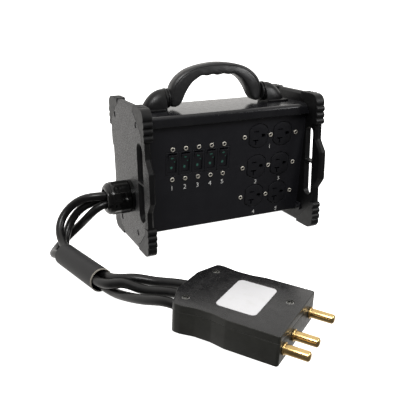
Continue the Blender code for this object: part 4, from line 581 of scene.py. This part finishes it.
def add_sleeve():
    """The shrink sleeve. Its end towards the plug carries a pale ring, a painted highlight on its rim."""
    sides, end = 48, SLEEVE_LENGTH
    bore = SLEEVE_BORE / cos(pi / sides)
    outer, rim_start = bore + SLEEVE_WALL, end - 0.0012
    # A pale ring at the plug end: a painted highlight on the sleeve's rim.
    edge = [(rim_start, bore), (rim_start, outer + 0.0001), (end, outer + 0.0001), (end + 0.0002, outer - 0.0002),
        (end + 0.0002, bore)]
    skin = [(0.0, bore), (0.0, outer - 0.0003), (0.0003, outer), (end - 0.0003, outer), (end, outer - 0.0003),
        (end, bore)]
    pieces = []
    for name, look, profile in (("rim_highlight", "sleeve_rim_highlight", edge), ("skin", "sleeve_grey", skin)):
        rings = [[sleeve_point(along, t + pi / sides, radius) for t in sweep(2 * pi, sides)[:-1]]
            for along, radius in profile]
        pieces.append(make("sleeve_" + name, loft(rings, loop=True), look))
    ride(pieces[0], "sleeve_grey")
    return ride(pieces[1], "sleeve_grey", "cable_sleeve")


# End plates and guards

CORNERS = [(front_back, up_down, f"{y}_{z}") for front_back, y in ((-1, "front"), (1, "rear"))
    for up_down, z in ((-1, "lower"), (1, "upper"))]


def facing_gets(piece, way, look):
    """The faces that look one way, in the mesh's own frame, take a second material."""
    piece.data.materials.append(LOOKS[look])
    for face in piece.data.polygons:
        if face.normal.dot(way) > 0.9:
            face.material_index = 1


def plate_corners():
    front, rear, soft = -HALF_DEPTH, HALF_DEPTH, 0.004
    out, back = front - GRIP_OUT, rear - RECESS_DEEP
    high = 2 * HALF_UP
    return [
        (front, 0.0, PLATE_CORNER), (rear, 0.0, PLATE_CORNER),
        (rear, RECESS_LOW, soft), (back, RECESS_LOW + RECESS_SLOPE, soft),
        (back, RECESS_HIGH - RECESS_SLOPE, soft), (rear, RECESS_HIGH, soft),
        (rear, high, PLATE_CORNER), (front, high, PLATE_CORNER),
        (front, GRIP_HIGH, soft), (out, GRIP_HIGH - GRIP_SLOPE, soft),
        (out, GRIP_LOW + GRIP_SLOPE, soft), (front, GRIP_LOW, soft),
    ]


def core_corners(inset):
    radius = PLATE_CORNER - inset
    return rectangle(HALF_DEPTH - inset, HALF_UP - inset, radius, (0.0, HALF_UP))


def guard_inner_edge(grow):
    u_front = HALF_DEPTH - GUARD_STRIP - grow
    return [
        (HALF_DEPTH - GUARD_LEG_BACK - grow, HALF_UP - GUARD_TAIL_DROP - grow),
        (HALF_DEPTH - GUARD_WEB - grow, HALF_UP - GUARD_WEB_DROP - grow),
        (u_front - GUARD_WEB_LEAN, HALF_UP - GUARD_WEB - grow),
        (u_front, HALF_UP - GUARD_LEG_UP - grow),
    ]


def lobe(share, height):
    low = GUARD_VALLEY / GUARD_OUT
    return height * (low + (1 - low) * sin(pi * share) ** 0.6)


def guard_outline(top_out):
    """A guard in (outwards, upwards) from the plate's middle, its ribs as smooth lobes."""
    arc_u, arc_w = HALF_DEPTH - PLATE_CORNER, HALF_UP - PLATE_CORNER
    low, tail = HALF_UP - GUARD_LEG_UP, HALF_DEPTH - GUARD_LEG_BACK
    steps = 12
    count = 3 * steps
    points = [(HALF_DEPTH + lobe(k % steps / steps, GUARD_OUT), low + (arc_w - low) * k / count)
        for k in range(count)]
    for share in sweep(1.0, 24):
        reach = PLATE_CORNER + lobe(share, GUARD_OUT + (top_out - GUARD_OUT) * share)
        points.append((arc_u + reach * cos(share * pi / 2),
            min(arc_w + reach * sin(share * pi / 2), HALF_UP + top_out)))
    points += [(arc_u + (tail - arc_u) * k / count, HALF_UP + lobe(k % steps / steps, top_out))
        for k in range(1, count + 1)]
    return points + guard_inner_edge(0.0)


def seat_outline():
    far = 0.01
    low, tail = HALF_UP - GUARD_LEG_UP - GAP, HALF_DEPTH - GUARD_LEG_BACK - GAP
    outer = [(HALF_DEPTH + far, low), (HALF_DEPTH + far, HALF_UP + far), (tail, HALF_UP + far)]
    return outer + guard_inner_edge(GAP)


def to_corner(outline, front_back, up_down):
    return [(front_back * u, HALF_UP + up_down * w) for u, w in outline]


def slot_corners(upper, grow):
    front, rear = SLOT_FRONT - grow, SLOT_FRONT + SLOT_WIDTH + grow
    middle = (SLOT_LOW + SLOT_HIGH) / 2
    half_web, round_end, square_end = SLOT_WEB / 2, SLOT_WIDTH * 0.45 + grow, 0.001
    if upper:
        low, high, r_low, r_high = middle + half_web, SLOT_HIGH + grow, square_end, round_end
    else:
        low, high, r_low, r_high = SLOT_LOW - grow, middle - half_web, round_end, square_end
    return [(front, low, r_low), (rear, low, r_low), (rear, high, r_high), (front, high, r_high)]


def add_guards(side, name):
    for front_back, up_down, place in CORNERS:
        outline = to_corner(guard_outline(GUARD_TOP_OUT if up_down > 0 else 0.0), front_back, up_down)
        node = f"{name}_{place}_guard"
        guard = make(node + "_bumper", prism(outline, along_x, side * (PLATE_INNER - INNER_FLANGE),
            side * PLATE_OUTER), "guard_rubber")
        carve(guard, prism(rounded(core_corners(GUARD_SEAT - GAP), 12), along_x, side * (PLATE_INNER - GAP),
            side * (PLATE_OUTER - OUTER_FLANGE + GAP)))
        soften(guard, 0.0004)
        ride(guard, "guard_rubber", node)


def add_plate(side, name):
    rim = PLATE_OUTER - BEVEL_DEPTH
    stations = [(PLATE_OUTER, BEVEL_WIDTH), (rim, 0.0004), (rim - 0.0005, 0.0)]
    stations += [(PLATE_INNER + INNER_CHAMFER - 0.0008 * sin(t), INNER_CHAMFER * 0.12 * (1 - cos(t)))
        for t in (0.0, pi / 6)]
    stations.append((PLATE_INNER, INNER_CHAMFER))
    bm = loft([along_x(inset_ring(plate_corners(), inset, 8), side * x) for x, inset in stations])
    plate = make(name + "_end_sheet", bm, "plate_edge")
    facing_gets(plate, Vector((side, 0.0, 0.0)), "pebbled_black")
    for front_back, up_down, _ in CORNERS:
        seat = make("seat_shape", prism(to_corner(seat_outline(), front_back, up_down), along_x,
            side * (PLATE_INNER - 0.004), side * (PLATE_OUTER + 0.004)), "pebbled_black")
        carve(seat, prism(rounded(core_corners(GUARD_SEAT), 8), along_x, side * (PLATE_INNER - 0.005),
            side * (PLATE_OUTER - OUTER_FLANGE)))
        carve(plate, as_tool(seat))
    holes = bmesh.new()
    low, high = PLATE_INNER - PAST, PLATE_OUTER + PAST
    for upper in (False, True):
        throat = rounded(slot_corners(upper, 0.0), 10)
        mouth = rounded(slot_corners(upper, SLOT_CHAMFER + PAST), 10)
        loft([along_x(throat, side * low), along_x(throat, side * (PLATE_OUTER - SLOT_CHAMFER)),
            along_x(mouth, side * high)], holes)
    seat = PLATE_OUTER - SCREW_SUNK - SCREW_HEAD_THICK - GAP
    shank, head = SCREW_RADIUS + SCREW_PLAY, SCREW_HEAD_RADIUS + SCREW_PLAY
    profile = [(side * low, shank), (side * seat, shank), (side * seat, head), (side * high, head)]
    for centre in SCREW_PLACES:
        turned(profile, 32, along_x, centre, holes)
    if side < 0:
        prism(circle(TUBE_RADIUS + GAP * 2, 48, (GLAND_Y, GLAND_Z)), along_x, -low, -high, holes)
    carve(plate, holes)
    soften(plate, 0.0003)
    ride(plate, "pebbled_black", name + "_end_plate")


# Panel, cover and devices

def panel_y(z):
    return -PANEL_FORWARD - (z - PANEL_HEIGHT) * tan(PANEL_TILT)


def face_outline(play_x, play_z, centre):
    """A receptacle face: a circle with flat left and right sides."""
    radius, half = FACE_HEIGHT / 2 + play_z, FACE_WIDTH / 2 + play_x
    reach = asin(half / radius)
    top = [(radius * sin(reach - t), radius * cos(reach - t)) for t in sweep(2 * reach, 24)]
    return [(centre[0] + a, centre[1] + b) for a, b in top + [(-a, -b) for a, b in top]]


def duplex_up(row):
    return (1 - row) * DUPLEX_PITCH


def breaker_x(index):
    return BREAKER_X + (index - 2) * BREAKER_PITCH


def screw_places():
    """Middles of the panel's mounting screws: three in each receptacle and two in each breaker."""
    places = [(DUPLEX_X + side * DUPLEX_SCREWS / 2, duplex_up(row))
        for row in range(3) for side in (-1, 0, 1)]
    return places + [(breaker_x(index), BREAKER_UP + side * BREAKER_SCREWS / 2)
        for index in range(5) for side in (-1, 1)]


def add_chassis():
    slant = SHEET / cos(PANEL_TILT)
    bottom, top = panel_y(PAN_BOTTOM), panel_y(PAN_TOP)
    low, high = panel_y(PAN_BOTTOM + SHEET) + slant, panel_y(PAN_TOP) + slant
    section = []
    for y_top, y_low, z_low, bend in ((top, bottom, PAN_BOTTOM, PAN_BEND),
            (high, low, PAN_BOTTOM + SHEET, PAN_BEND - SHEET)):
        section.append(rounded([(y_top, PAN_TOP, 0.0), (y_low, z_low, bend), (-y_low, z_low, bend),
            (-y_top, PAN_TOP, 0.0)], 12))
    bm = prism(section[0] + section[1][::-1], along_x, -SHEET_END, SHEET_END)
    bm.transform(PANEL.inverted() @ BOX)
    pan = make("front_panel_sheet", bm, "panel_paint", PANEL)
    holes = bmesh.new()
    low, high = -0.004, SHEET + 0.004
    for row in range(3):
        for side in (-1, 1):
            centre = (DUPLEX_X + side * FACE_SPACING / 2, duplex_up(row))
            prism(face_outline(FACE_PLAY_X, FACE_PLAY_Z, centre), along_y, low, high, holes)
    half_span = 2 * BREAKER_PITCH + BREAKER_WIDTH / 2 + GAP
    window = rectangle(half_span, BEZEL_HEIGHT / 2 + GAP, 0.0, (BREAKER_X, BREAKER_UP + BEZEL_SHIFT))
    prism(rounded(window, 1), along_y, low, high, holes)
    for centre in screw_places():
        prism(circle(SHANK_RADIUS + SCREW_PLAY, 24, centre), along_y, low, high, holes)
    carve(pan, holes)
    soften(pan, 0.00025)
    ride(pan, "panel_paint", "chassis_pan")


def add_cover():
    hem_y, hem_z, lip = COVER_FORWARD - HEM_RADIUS, COVER_LIP + HEM_RADIUS, COVER_LIP + 2 * HEM_RADIUS
    hem = [(hem_y + HEM_RADIUS * cos(t), hem_z + HEM_RADIUS * sin(t)) for t in sweep(radians(-225), 20)]
    outer, inner = [rounded([(y, lip, 0.0), (y, top, bend), (-y, top, bend), (-y, lip, 0.0)], 16)
        for y, top, bend in ((COVER_FORWARD, COVER_TOP, COVER_BEND),
        (COVER_FORWARD - SHEET, COVER_TOP - SHEET, COVER_BEND - SHEET))]
    section = outer + [(-a, b) for a, b in hem] + inner[::-1] + hem[::-1]
    cover = make("cover_sheet", prism(section, along_x, -SHEET_END, SHEET_END), "cover_paint")
    soften(cover, 0.0003)
    ride(cover, "cover_paint", "top_cover")


def add_receptacle_holes(bm, centre_x):
    low, high = -FACE_PROUD - PAST, CONTACT_DEPTH
    back = centre_x - BLADE_BACK
    hot = rectangle(BLADE_LENGTH / 2, BLADE_SLOT / 2, 0.0, (back, BLADE_OFFSET))
    half, arm = NEUTRAL_SLOT / 2, NEUTRAL_LENGTH / 2
    tee = [(back + x, z - BLADE_OFFSET) for x, z in (
        (-arm, -half), (-half, -half), (-half, -half - NEUTRAL_BRANCH), (half, -half - NEUTRAL_BRANCH),
        (half, -half), (arm, -half), (arm, half), (-arm, half))]
    flat, width = centre_x + GROUND_FORWARD - GROUND_LENGTH / 2, GROUND_WIDTH / 2
    nose = flat + GROUND_LENGTH - width
    ground = [(nose + width * sin(t), -width * cos(t)) for t in sweep(pi, 18)]
    ground += [(flat, width), (flat, -width)]
    for outline in (rounded(hot, 1), tee, ground):
        prism(outline, along_y, low, high, bm)


def add_screw_shade_core(bm, centre, depth):
    """The middle of a mounting screw, sunk in its bright ring and given the device's black as painted shade
    in the recess.
    """
    profile = [(-GAP - 0.0002, 0.0017), (-GAP, HEAD_RADIUS - 0.0003),
        (-GAP + 0.0001, SHANK_RADIUS), (depth, SHANK_RADIUS)]
    turned(profile, 24, along_y, centre, bm)


def add_receptacle(row):
    name = f"duplex_receptacle_{row + 1}"
    space = PANEL @ Matrix.Translation((DUPLEX_X, 0.0, duplex_up(row)))
    yoke = rounded(rectangle(YOKE_LENGTH / 2, YOKE_HEIGHT / 2, 0.003), 8)
    device = make(name + "_device", prism(yoke, along_y, DEVICE_BACK, DEVICE_BACK + YOKE_THICK),
        "device_black", space)
    middle = DEVICE_BACK + YOKE_THICK / 2
    body = rounded(rectangle(BODY_LENGTH / 2, BODY_HEIGHT / 2, 0.002), 6)
    carve(device, prism(body, along_y, middle, DEVICE_BACK + BODY_DEPTH), "UNION")
    faces, holes = bmesh.new(), bmesh.new()
    levels = [(-0.0006, -0.0005, -FACE_PROUD), (-0.0003, -0.0002, -FACE_PROUD + 0.0001),
        (0.0, 0.0, -FACE_PROUD + 0.0005), (0.0, 0.0, middle + 0.002)]
    for side in (-1, 1):
        centre = side * FACE_SPACING / 2
        loft([along_y(face_outline(a, b, (centre, 0.0)), y) for a, b, y in levels], faces)
        add_receptacle_holes(holes, centre)
    for side in (-1, 0, 1):
        add_screw_shade_core(faces, (side * DUPLEX_SCREWS / 2, 0.0), middle)
    carve(device, faces, "UNION")
    carve(device, holes)
    ride(device, "device_black", name)


def add_breaker(index):
    name = f"breaker_{index + 1}"
    space = PANEL @ Matrix.Translation((breaker_x(index), 0.0, BREAKER_UP))
    half, edge = BREAKER_WIDTH / 2, 0.0004
    body = rectangle(half, BREAKER_HEIGHT / 2, 0.0006)
    breaker = make(name + "_case", eased(body, along_y, DEVICE_BACK, DEVICE_BACK + BREAKER_DEPTH, edge, 3, 2),
        "device_black", space)
    bezel = rectangle(half, BEZEL_HEIGHT / 2, 0.0006, (0.0, BEZEL_SHIFT))
    front = eased(bezel, along_y, 0.0, DEVICE_BACK + 0.002, edge, 3, 3)
    for side in (-1, 1):
        add_screw_shade_core(front, (0.0, side * BREAKER_SCREWS / 2), DEVICE_BACK + 0.002)
    carve(breaker, front, "UNION")
    up = ROCKER_UP - BREAKER_UP
    pocket = rectangle(ROCKER_WIDTH / 2 + POCKET_PLAY, rocker_reach() + POCKET_PLAY, 0.0, (0.0, up))
    carve(breaker, prism(rounded(pocket, 1), along_y, -0.002, POCKET_DEPTH))
    reach = ROCKER_WIDTH / 2 + TRUNNION_REACH + GAP
    carve(breaker, prism(circle(TRUNNION_RADIUS + GAP, 24, (ROCKER_IN, up)), along_x, -reach, reach))
    ride(breaker, "device_black", name)


def rocker_profile():
    half = ROCKER_LENGTH / 2
    valley = ROCKER_LOW_FACE - ROCKER_IN
    crest = valley - half * tan(ROCKER_TILT)
    belly = valley + ROCKER_THICK
    return [(crest, -half), (valley, 0.0), (crest, half), (-0.002, half - 0.0006), (belly, half * 0.4),
        (belly, -half * 0.4), (-0.002, -half + 0.0006)]


def rocker_reach():
    crest, half = rocker_profile()[2]
    return half * cos(ROCKER_TILT) - crest * sin(ROCKER_TILT)


def add_rocker(index):
    """A rocker, its rim softened, with three green marks printed on its two faces."""
    space = (PANEL @ Matrix.Translation((breaker_x(index), ROCKER_IN, ROCKER_UP))
        @ Matrix.Rotation(ROCKER_TILT, 4, "X"))
    body, number = f"rocker_{index + 1}", index + 1
    key = prism(rocker_profile(), along_x, -ROCKER_WIDTH / 2, ROCKER_WIDTH / 2)
    rocker = make(f"rocker_key_{number}", key, "device_black", space)
    soften(rocker, 0.0003)
    ride(rocker, "device_black", f"breaker_rocker_{number}", body=body)
    reach = ROCKER_WIDTH / 2 + TRUNNION_REACH
    pin = prism(circle(TRUNNION_RADIUS, 24), along_x, -reach, reach)
    ride(make(f"rocker_pin_{number}", pin, "device_black", space), "device_black", body=body)
    valley, slope = ROCKER_LOW_FACE - ROCKER_IN, tan(ROCKER_TILT)
    marks = bmesh.new()
    for x, z, wide, high in ROCKER_MARKS:
        spot = [(x + wide * cos(t), z + high * sin(t)) for t in sweep(2 * pi, 24)[:-1]]
        loft([[(a, valley - abs(b) * slope - lift, b) for a, b in spot] for lift in MARK_LIFTS], marks)
    ride(make(f"rocker_marks_{number}", marks, "green_mark", space), "label_film", body=body)


def add_screw_rings():
    """The bright ring round each mounting screw of the panel."""
    rings = bmesh.new()
    deep = GAP + HEAD_THICK
    inside, outside = 0.0018, HEAD_RADIUS - 0.0002
    profile = [(-GAP, inside), (-GAP, outside), (-GAP - 0.0003, outside), (-deep + 0.0004, outside - 0.0001),
        (-deep + 0.0001, outside - 0.0004), (-deep, outside - 0.0008), (-deep + 0.0001, inside + 0.0002),
        (-deep + 0.0004, inside)]
    for centre in screw_places():
        turned(profile, 36, along_y, centre, rings, True)
    ride(make("panel_screw_rings", rings, "nickel", PANEL), "steel")


def add_numbers():
    """White numbers printed on the panel."""
    places = [(str(i + 1), breaker_x(i), -0.0160, 0.0068) for i in range(5)] + [
        (digit, x, up, 0.0064) for digit, x, up in RECEPTACLE_NUMBERS]
    for i, (digit, x, up, size) in enumerate(places):
        text = bpy.data.curves.new(f"number_{i + 1}", "FONT")
        text.body, text.size, text.extrude = digit, size * 1.4, 0.00003
        text.align_x, text.align_y = "CENTER", "CENTER"
        text.materials.append(LOOKS["white_ink"])
        number = linked(f"panel_number_{i + 1}", text)
        number.matrix_world = PANEL @ Matrix.Translation((x, -0.00006, up)) @ Matrix.Rotation(pi / 2, 4, "X")
        ride(number, "label_film")


# Handle, pods and gland

def handle_stations(spans):
    span, rise, half = HANDLE_SPAN, HANDLE_TOP - HANDLE_AXIS_Z, HANDLE_DEPTH / 2
    right = [Vector((a * span, b * rise, c * span, d * rise, e * half)) for a, b, c, d, e in HANDLE_ARCH]
    left = [Vector((-v[0], v[1], -v[2], v[3], v[4])) for v in reversed(right[1:])]
    return smooth_curve(left + right, spans)


def handle_ring(station):
    outer_x, outer_z, inner_x, inner_z, half = station
    if abs(inner_x) < 2 * FINGER_PITCH:
        inner_z += FINGER_DEEP * (0.5 - 0.5 * cos(2 * pi * inner_x / FINGER_PITCH))
    front = [(outer_x + (inner_x - outer_x) * share, -half * width, outer_z + (inner_z - outer_z) * share)
        for share, width in HANDLE_SECTION]
    return front + [(x, -y, z) for x, y, z in reversed(front)]


def add_handle():
    bm = loft([handle_ring(station) for station in handle_stations(12)])
    handle = make("handle_moulding", bm, "satin_black", HINGE, 50)
    for side in (-1, 1):
        low, high = side * (HANDLE_SPAN - PIN_IN_LEG - GAP), side * (HANDLE_SPAN + PAST)
        carve(handle, prism(circle(PIVOT_RADIUS + PIVOT_PLAY, 32), along_x, low, high))
    ride(handle, "black_plastic", "handle_grip", body="handle")


def pod_section(share):
    height = POD_HEIGHT * (1 - share ** 2.3) ** 0.9
    width = POD_HALF_WIDTH * (1 - share ** 2.6) ** 0.6
    return [(width * cos(t), max(height, 0.003) * sin(t) ** 0.8) for t in sweep(pi, 40)]


def add_pod(side, name):
    base = COVER_TOP + GAP
    axis = (0.0, HANDLE_AXIS_Z - base)
    rings = [along_x(pod_section(share), side * (POD_BODY_START + POD_LENGTH * share))
        for share in POD_SHARES]
    pod = make(name + "_pod_moulding", loft(rings), "pod_black", BOX @ Matrix.Translation((0, 0, base)))
    groove = POD_START + COLLAR_LENGTH
    flange = groove + GROOVE_LENGTH
    soft = 0.0006
    neck = [(at, COLLAR_RADIUS - inset) for at, inset in rims(POD_START, groove, soft)]
    neck += [(groove, GROOVE_RADIUS), (flange, GROOVE_RADIUS)]
    neck += [(at, FLANGE_RADIUS - inset) for at, inset in rims(flange, POD_BODY_START, soft)]
    neck += [(POD_BODY_START + soft, GROOVE_RADIUS), (POD_BODY_START + 0.003, GROOVE_RADIUS)]
    carve(pod, turned([(side * at, radius) for at, radius in neck], 64, along_x, axis), "UNION")
    half = (POD_LENGTH + POD_SKIRT_OUT) / 2
    outline = rectangle(half, POD_HALF_WIDTH + POD_SKIRT_OUT, 0.006, (side * (POD_BODY_START + half), 0.0))
    carve(pod, eased(outline, along_z, 0.0, POD_SKIRT_HEIGHT, 0.0005), "UNION")
    carve(pod, prism(circle(PIVOT_RADIUS + PIVOT_PLAY, 32, axis), along_x, side * (POD_START - PAST),
        side * (POD_START + PIN_IN_POD + GAP)))
    ride(pod, "black_plastic", name + "_handle_pod")


def add_gland_nut():
    """Fluted nut whose dome carries two turned steps before its mouth."""
    bore, full, mouth = TUBE_RADIUS + GAP, NUT_RADIUS, MOUTH_RADIUS
    start, end, seal = NUT_START, NUT_END, SEAL_END + GAP
    dome = end - DOME_LENGTH
    profile = [(start, bore, 0.0), (start, full - 0.0012, 1.0), (start + 0.0004, full - 0.0004, 1.0),
        (start + 0.001, full, 1.0), (dome - 0.001, full, 1.0)]
    for angle in range(0, 95, 5):
        along, inwards = sin(radians(angle)), 1 - cos(radians(angle))
        step = 0.0005 if angle in (20, 25, 50, 55) else 0.0
        profile.append((dome + DOME_LENGTH * along, full - (full - mouth - 0.0012) * inwards - step,
            max(0.0, 1 - along * 2.6)))
    profile += [(end, mouth + 0.0003, 0.0), (end - 0.0003, mouth, 0.0), (seal, mouth, 0.0), (seal, bore, 0.0)]
    rings = []
    for at, radius, flute in profile:
        ring = []
        for turn in sweep(2 * pi, NUT_LOBES * 12)[:-1]:
            reach = radius - flute * LOBE_DEEP * (0.5 - 0.5 * cos(NUT_LOBES * turn))
            ring.append((-at, GLAND_Y + reach * cos(turn), GLAND_Z + reach * sin(turn)))
        rings.append(ring)
    ride(make("gland_dome_nut", loft(rings, loop=True), "gloss_black"), "gloss_black", "gland_nut")


# Plug

def plug_corners():
    half, waist = PLUG_WIDTH / 2, PLUG_WIDTH / 2 - PLUG_WAIST
    right = [(-PLUG_LENGTH, -half * 0.42, 0.012), (-PLUG_LENGTH + 0.0105, -half, 0.006),
        (-PLUG_LENGTH + 0.020, -half, 0.010), (-PLUG_LENGTH + 0.0345, -waist, 0.012),
        (-PLUG_LENGTH + 0.053, -waist, 0.012), (-PLUG_LENGTH + 0.069, -half, 0.012), (0.0, -half, 0.003)]
    return right + [(x, -y, radius) for x, y, radius in reversed(right)]


def plug_hollow(low, high):
    corners = [(min(x, -FRONT_WALL + PLUG_SHELL), y, radius) for x, y, radius in plug_corners()]
    hollow = make("hollow", prism(inset_ring(corners, PLUG_SHELL, 6), along_z, low, high), "plug_grey", PLUG)
    for centre in PLUG_SCREWS:
        carve(hollow, prism(circle(PLUG_BOSS_RADIUS, 32, centre), along_z, low - 0.002, high + 0.002))
    return as_tool(hollow)


def add_plug_shells():
    corners, rim = plug_corners(), 0.00035
    head, shank = PLUG_HEAD_RADIUS + GAP, PLUG_SCREW_RADIUS + GAP
    sunk = PLUG_HEIGHT - PLUG_HEAD_SUNK
    shell = eased(corners, along_z, 0.0, PLUG_PARTING - GAP, PLUG_EDGE, 10, 4, rim)
    base = make("plug_lower_shell", shell, "plug_grey", PLUG)
    carve(base, plug_hollow(PLUG_FLOOR, PLUG_PARTING + PAST))
    holes = bmesh.new()
    for _, across in PIN_PLACES:
        prism(circle(PIN_SHANK + GAP, 32, (across, PIN_HEIGHT)), along_x, -FRONT_WALL - 0.004, PAST, holes)
    for centre in PLUG_SCREWS:
        prism(circle(shank, 24, centre), along_z, sunk - PLUG_SCREW_LENGTH - GAP, PLUG_PARTING + PAST, holes)
    carve(base, holes)
    ride(base, "plug_plastic", "plug_base")

    shell = eased(corners, along_z, PLUG_PARTING, PLUG_HEIGHT, rim, 10, 4, PLUG_EDGE)
    cover = make("plug_upper_shell", shell, "plug_grey", PLUG)
    # Upward faces take the darker copy of the shell plastic: painted shade on the top.
    facing_gets(cover, Vector((0.0, 0.0, 1.0)), "plug_top_shade")
    carve(cover, plug_hollow(PLUG_PARTING - PAST, PLUG_HEIGHT - PLUG_TOP_SKIN))
    holes = bmesh.new()
    seat = sunk - PLUG_HEAD_THICK - GAP
    profile = [(PLUG_PARTING - PAST, shank), (seat, shank), (seat, head), (PLUG_HEIGHT + PAST, head)]
    for centre in PLUG_SCREWS:
        turned(profile, 40, along_z, centre, holes)
    recess = rectangle(LABEL_SIZE[0] / 2 + GAP, LABEL_SIZE[1] / 2 + GAP, LABEL_CORNER, LABEL_MID)
    prism(rounded(recess, 10), along_z, PLUG_HEIGHT - LABEL_THICK, PLUG_HEIGHT + PAST, holes)
    carve(cover, holes)
    ride(cover, "plug_plastic", "plug_cover")


def add_plug_fittings():
    label = rectangle(LABEL_SIZE[0] / 2, LABEL_SIZE[1] / 2, LABEL_CORNER - GAP, LABEL_MID)
    plate = eased(label, along_z, PLUG_HEIGHT - LABEL_THICK + GAP, PLUG_HEIGHT + GAP, 0.00012, 12, 2)
    ride(make("plug_label_film", plate, "label_film", PLUG), "label_film", "plug_label")
    head, wide = PLUG_HEIGHT - PLUG_HEAD_SUNK, PLUG_HEAD_RADIUS
    under = head - PLUG_HEAD_THICK
    profile = [(head - PLUG_SCREW_LENGTH, PLUG_SCREW_RADIUS), (under, PLUG_SCREW_RADIUS), (under, wide),
        (head - 0.0005, wide), (head - 0.0001, wide * 0.96), (head, wide * 0.9), (head, wide * 0.74),
        (head - 0.0005, wide * 0.68), (head - 0.0006, wide * 0.62)]
    arm, half = wide * 0.62, 0.0007
    for i, (x, y) in enumerate(PLUG_SCREWS):
        screw = make(f"plug_screw_head_{i + 1}", turned(profile, 48, along_z, (x, y)), "zinc", PLUG)
        # The sunk middle of the head is dull and dark inside its bright rim: painted shade in the recess.
        screw.data.materials.append(LOOKS["painted_recess_shade"])
        for face in screw.data.polygons:
            if face.center.z > head - 0.0007 and (face.center.xy - Vector((x, y))).length < wide * 0.72:
                face.material_index = 1
        cross = [(x + a * c - b * s, y + a * s + b * c) for c, s in ((1, 0), (0, 1), (-1, 0), (0, -1))
            for a, b in ((arm, -half), (arm, half), (half, half))]
        carve(screw, prism(cross, along_z, head - 0.0013, head + PAST))
        ride(screw, "steel", f"plug_screw_{i + 1}")
    nut, shoulder, tip, soft = -FRONT_WALL - GAP, GAP + RING_LENGTH, PIN_LENGTH - PIN_TIP, 0.0003
    profile = [(nut - PIN_NUT_LENGTH, PIN_NUT_RADIUS), (nut, PIN_NUT_RADIUS), (nut, PIN_SHANK),
        (GAP, PIN_SHANK)]
    profile += [(at, RING_RADIUS - inset) for at, inset in rims(GAP, shoulder, soft, ease=1)]
    profile += [(shoulder, PIN_RADIUS), (tip, PIN_RADIUS)]
    profile += [(PIN_LENGTH - PIN_TIP * back, PIN_RADIUS * share)
        for back, share in ((0.75, 0.97), (0.4, 0.82), (0.12, 0.62), (0.0, 0.4))]
    for name, across in PIN_PLACES:
        pin = turned(profile, 56, along_x, (across, PIN_HEIGHT))
        ride(make(f"{name}_pin_turning", pin, "brass", PLUG), "brass", f"plug_pin_{name}")


# CAD nodes that stay keep their shapes and get a proper look.

for row in frame["record"]["subparts"]:
    slot = row["material_slot"]
    materials = frame["nodes"][row["node"]].data.materials
    materials.clear()
    materials.append(LOOKS[SLOT_LOOKS.get(slot, slot)])

for end_side, end_name in ((-1, "left"), (1, "right")):
    add_plate(end_side, end_name)
    add_guards(end_side, end_name)
    add_pod(end_side, end_name)
add_chassis()
add_cover()
for device in range(3):
    add_receptacle(device)
for device in range(5):
    add_breaker(device)
    add_rocker(device)
add_screw_rings()
add_numbers()
add_handle()
add_gland_nut()
add_plug_shells()
add_plug_fittings()
cords = [add_cable(name, cable) for name, cable in CABLES.items()]
sleeve = add_sleeve()


# Stage

def area_light(name, location, target, size, power):
    data = bpy.data.lights.new(name, "AREA")
    data.shape = "RECTANGLE"
    data.size, data.size_y = size
    data.energy = power
    light = linked(name, data)
    light.location = location
    light.rotation_euler = (Vector(target) - Vector(location)).to_track_quat("-Z", "Y").to_euler()


def add_floor():
    """A pale round sweep, flat under the part and turned up all round far from it."""
    flat, bend, top = 5.0, 1.5, 7.0
    profile = [(0.0, 0.05), (0.0, flat)]
    profile += [(bend - bend * cos(t), flat + bend * sin(t)) for t in sweep(pi / 2, 8)[1:]]
    profile.append((top, flat + bend))
    n = Nodes(bpy.data.materials.new("pale_floor"))
    n.bump(n.noise(40.0), 0.02, 0.001)
    paper = n.finish(Base_Color=(930, 930, 930), Roughness=0.9, Specular_IOR_Level=0.1,
        Emission_Color=(1000, 1000, 1000), Emission_Strength=1.1)
    floor = make("floor", turned(profile, 48, along_z), paper, Matrix.Identity(4))
    # Black gloss would mirror the pale floor, so only the camera sees it, as a cut out picture shows it.
    floor.visible_glossy = floor.visible_diffuse = floor.visible_shadow = False


def add_surroundings():
    """Studio walls, pale behind the part and above it and dark in front of it."""
    world = bpy.data.worlds.new("studio")
    n = Nodes(world)
    axes = n.add("ShaderNodeSeparateXYZ", {0: n.places["Generated"]}).outputs
    glow = n.math("MAXIMUM", n.span(axes["Y"], -0.3, 0.6, 0.10, 1.0, "SMOOTHSTEP"),
        n.span(axes["Z"], 0.45, 0.95, 0.10, 0.9, "SMOOTHSTEP"))
    n.fill(n.tree.nodes["Background"].inputs["Strength"], glow)
    n.fill(n.tree.nodes["Background"].inputs["Color"], (1000, 980, 950))
    bpy.context.scene.world = world


add_floor()
add_surroundings()
bpy.context.scene.view_settings.view_transform = "Standard"
area_light("key", (-0.9, -1.5, 1.9), (-0.05, -0.1, 0.1), (1.1, 0.8), 26.0)
area_light("fill", (1.4, -1.2, 0.9), (0.0, -0.1, 0.1), (0.8, 0.8), 13.0)

for piece, start, length in cords:
    tuple(start)
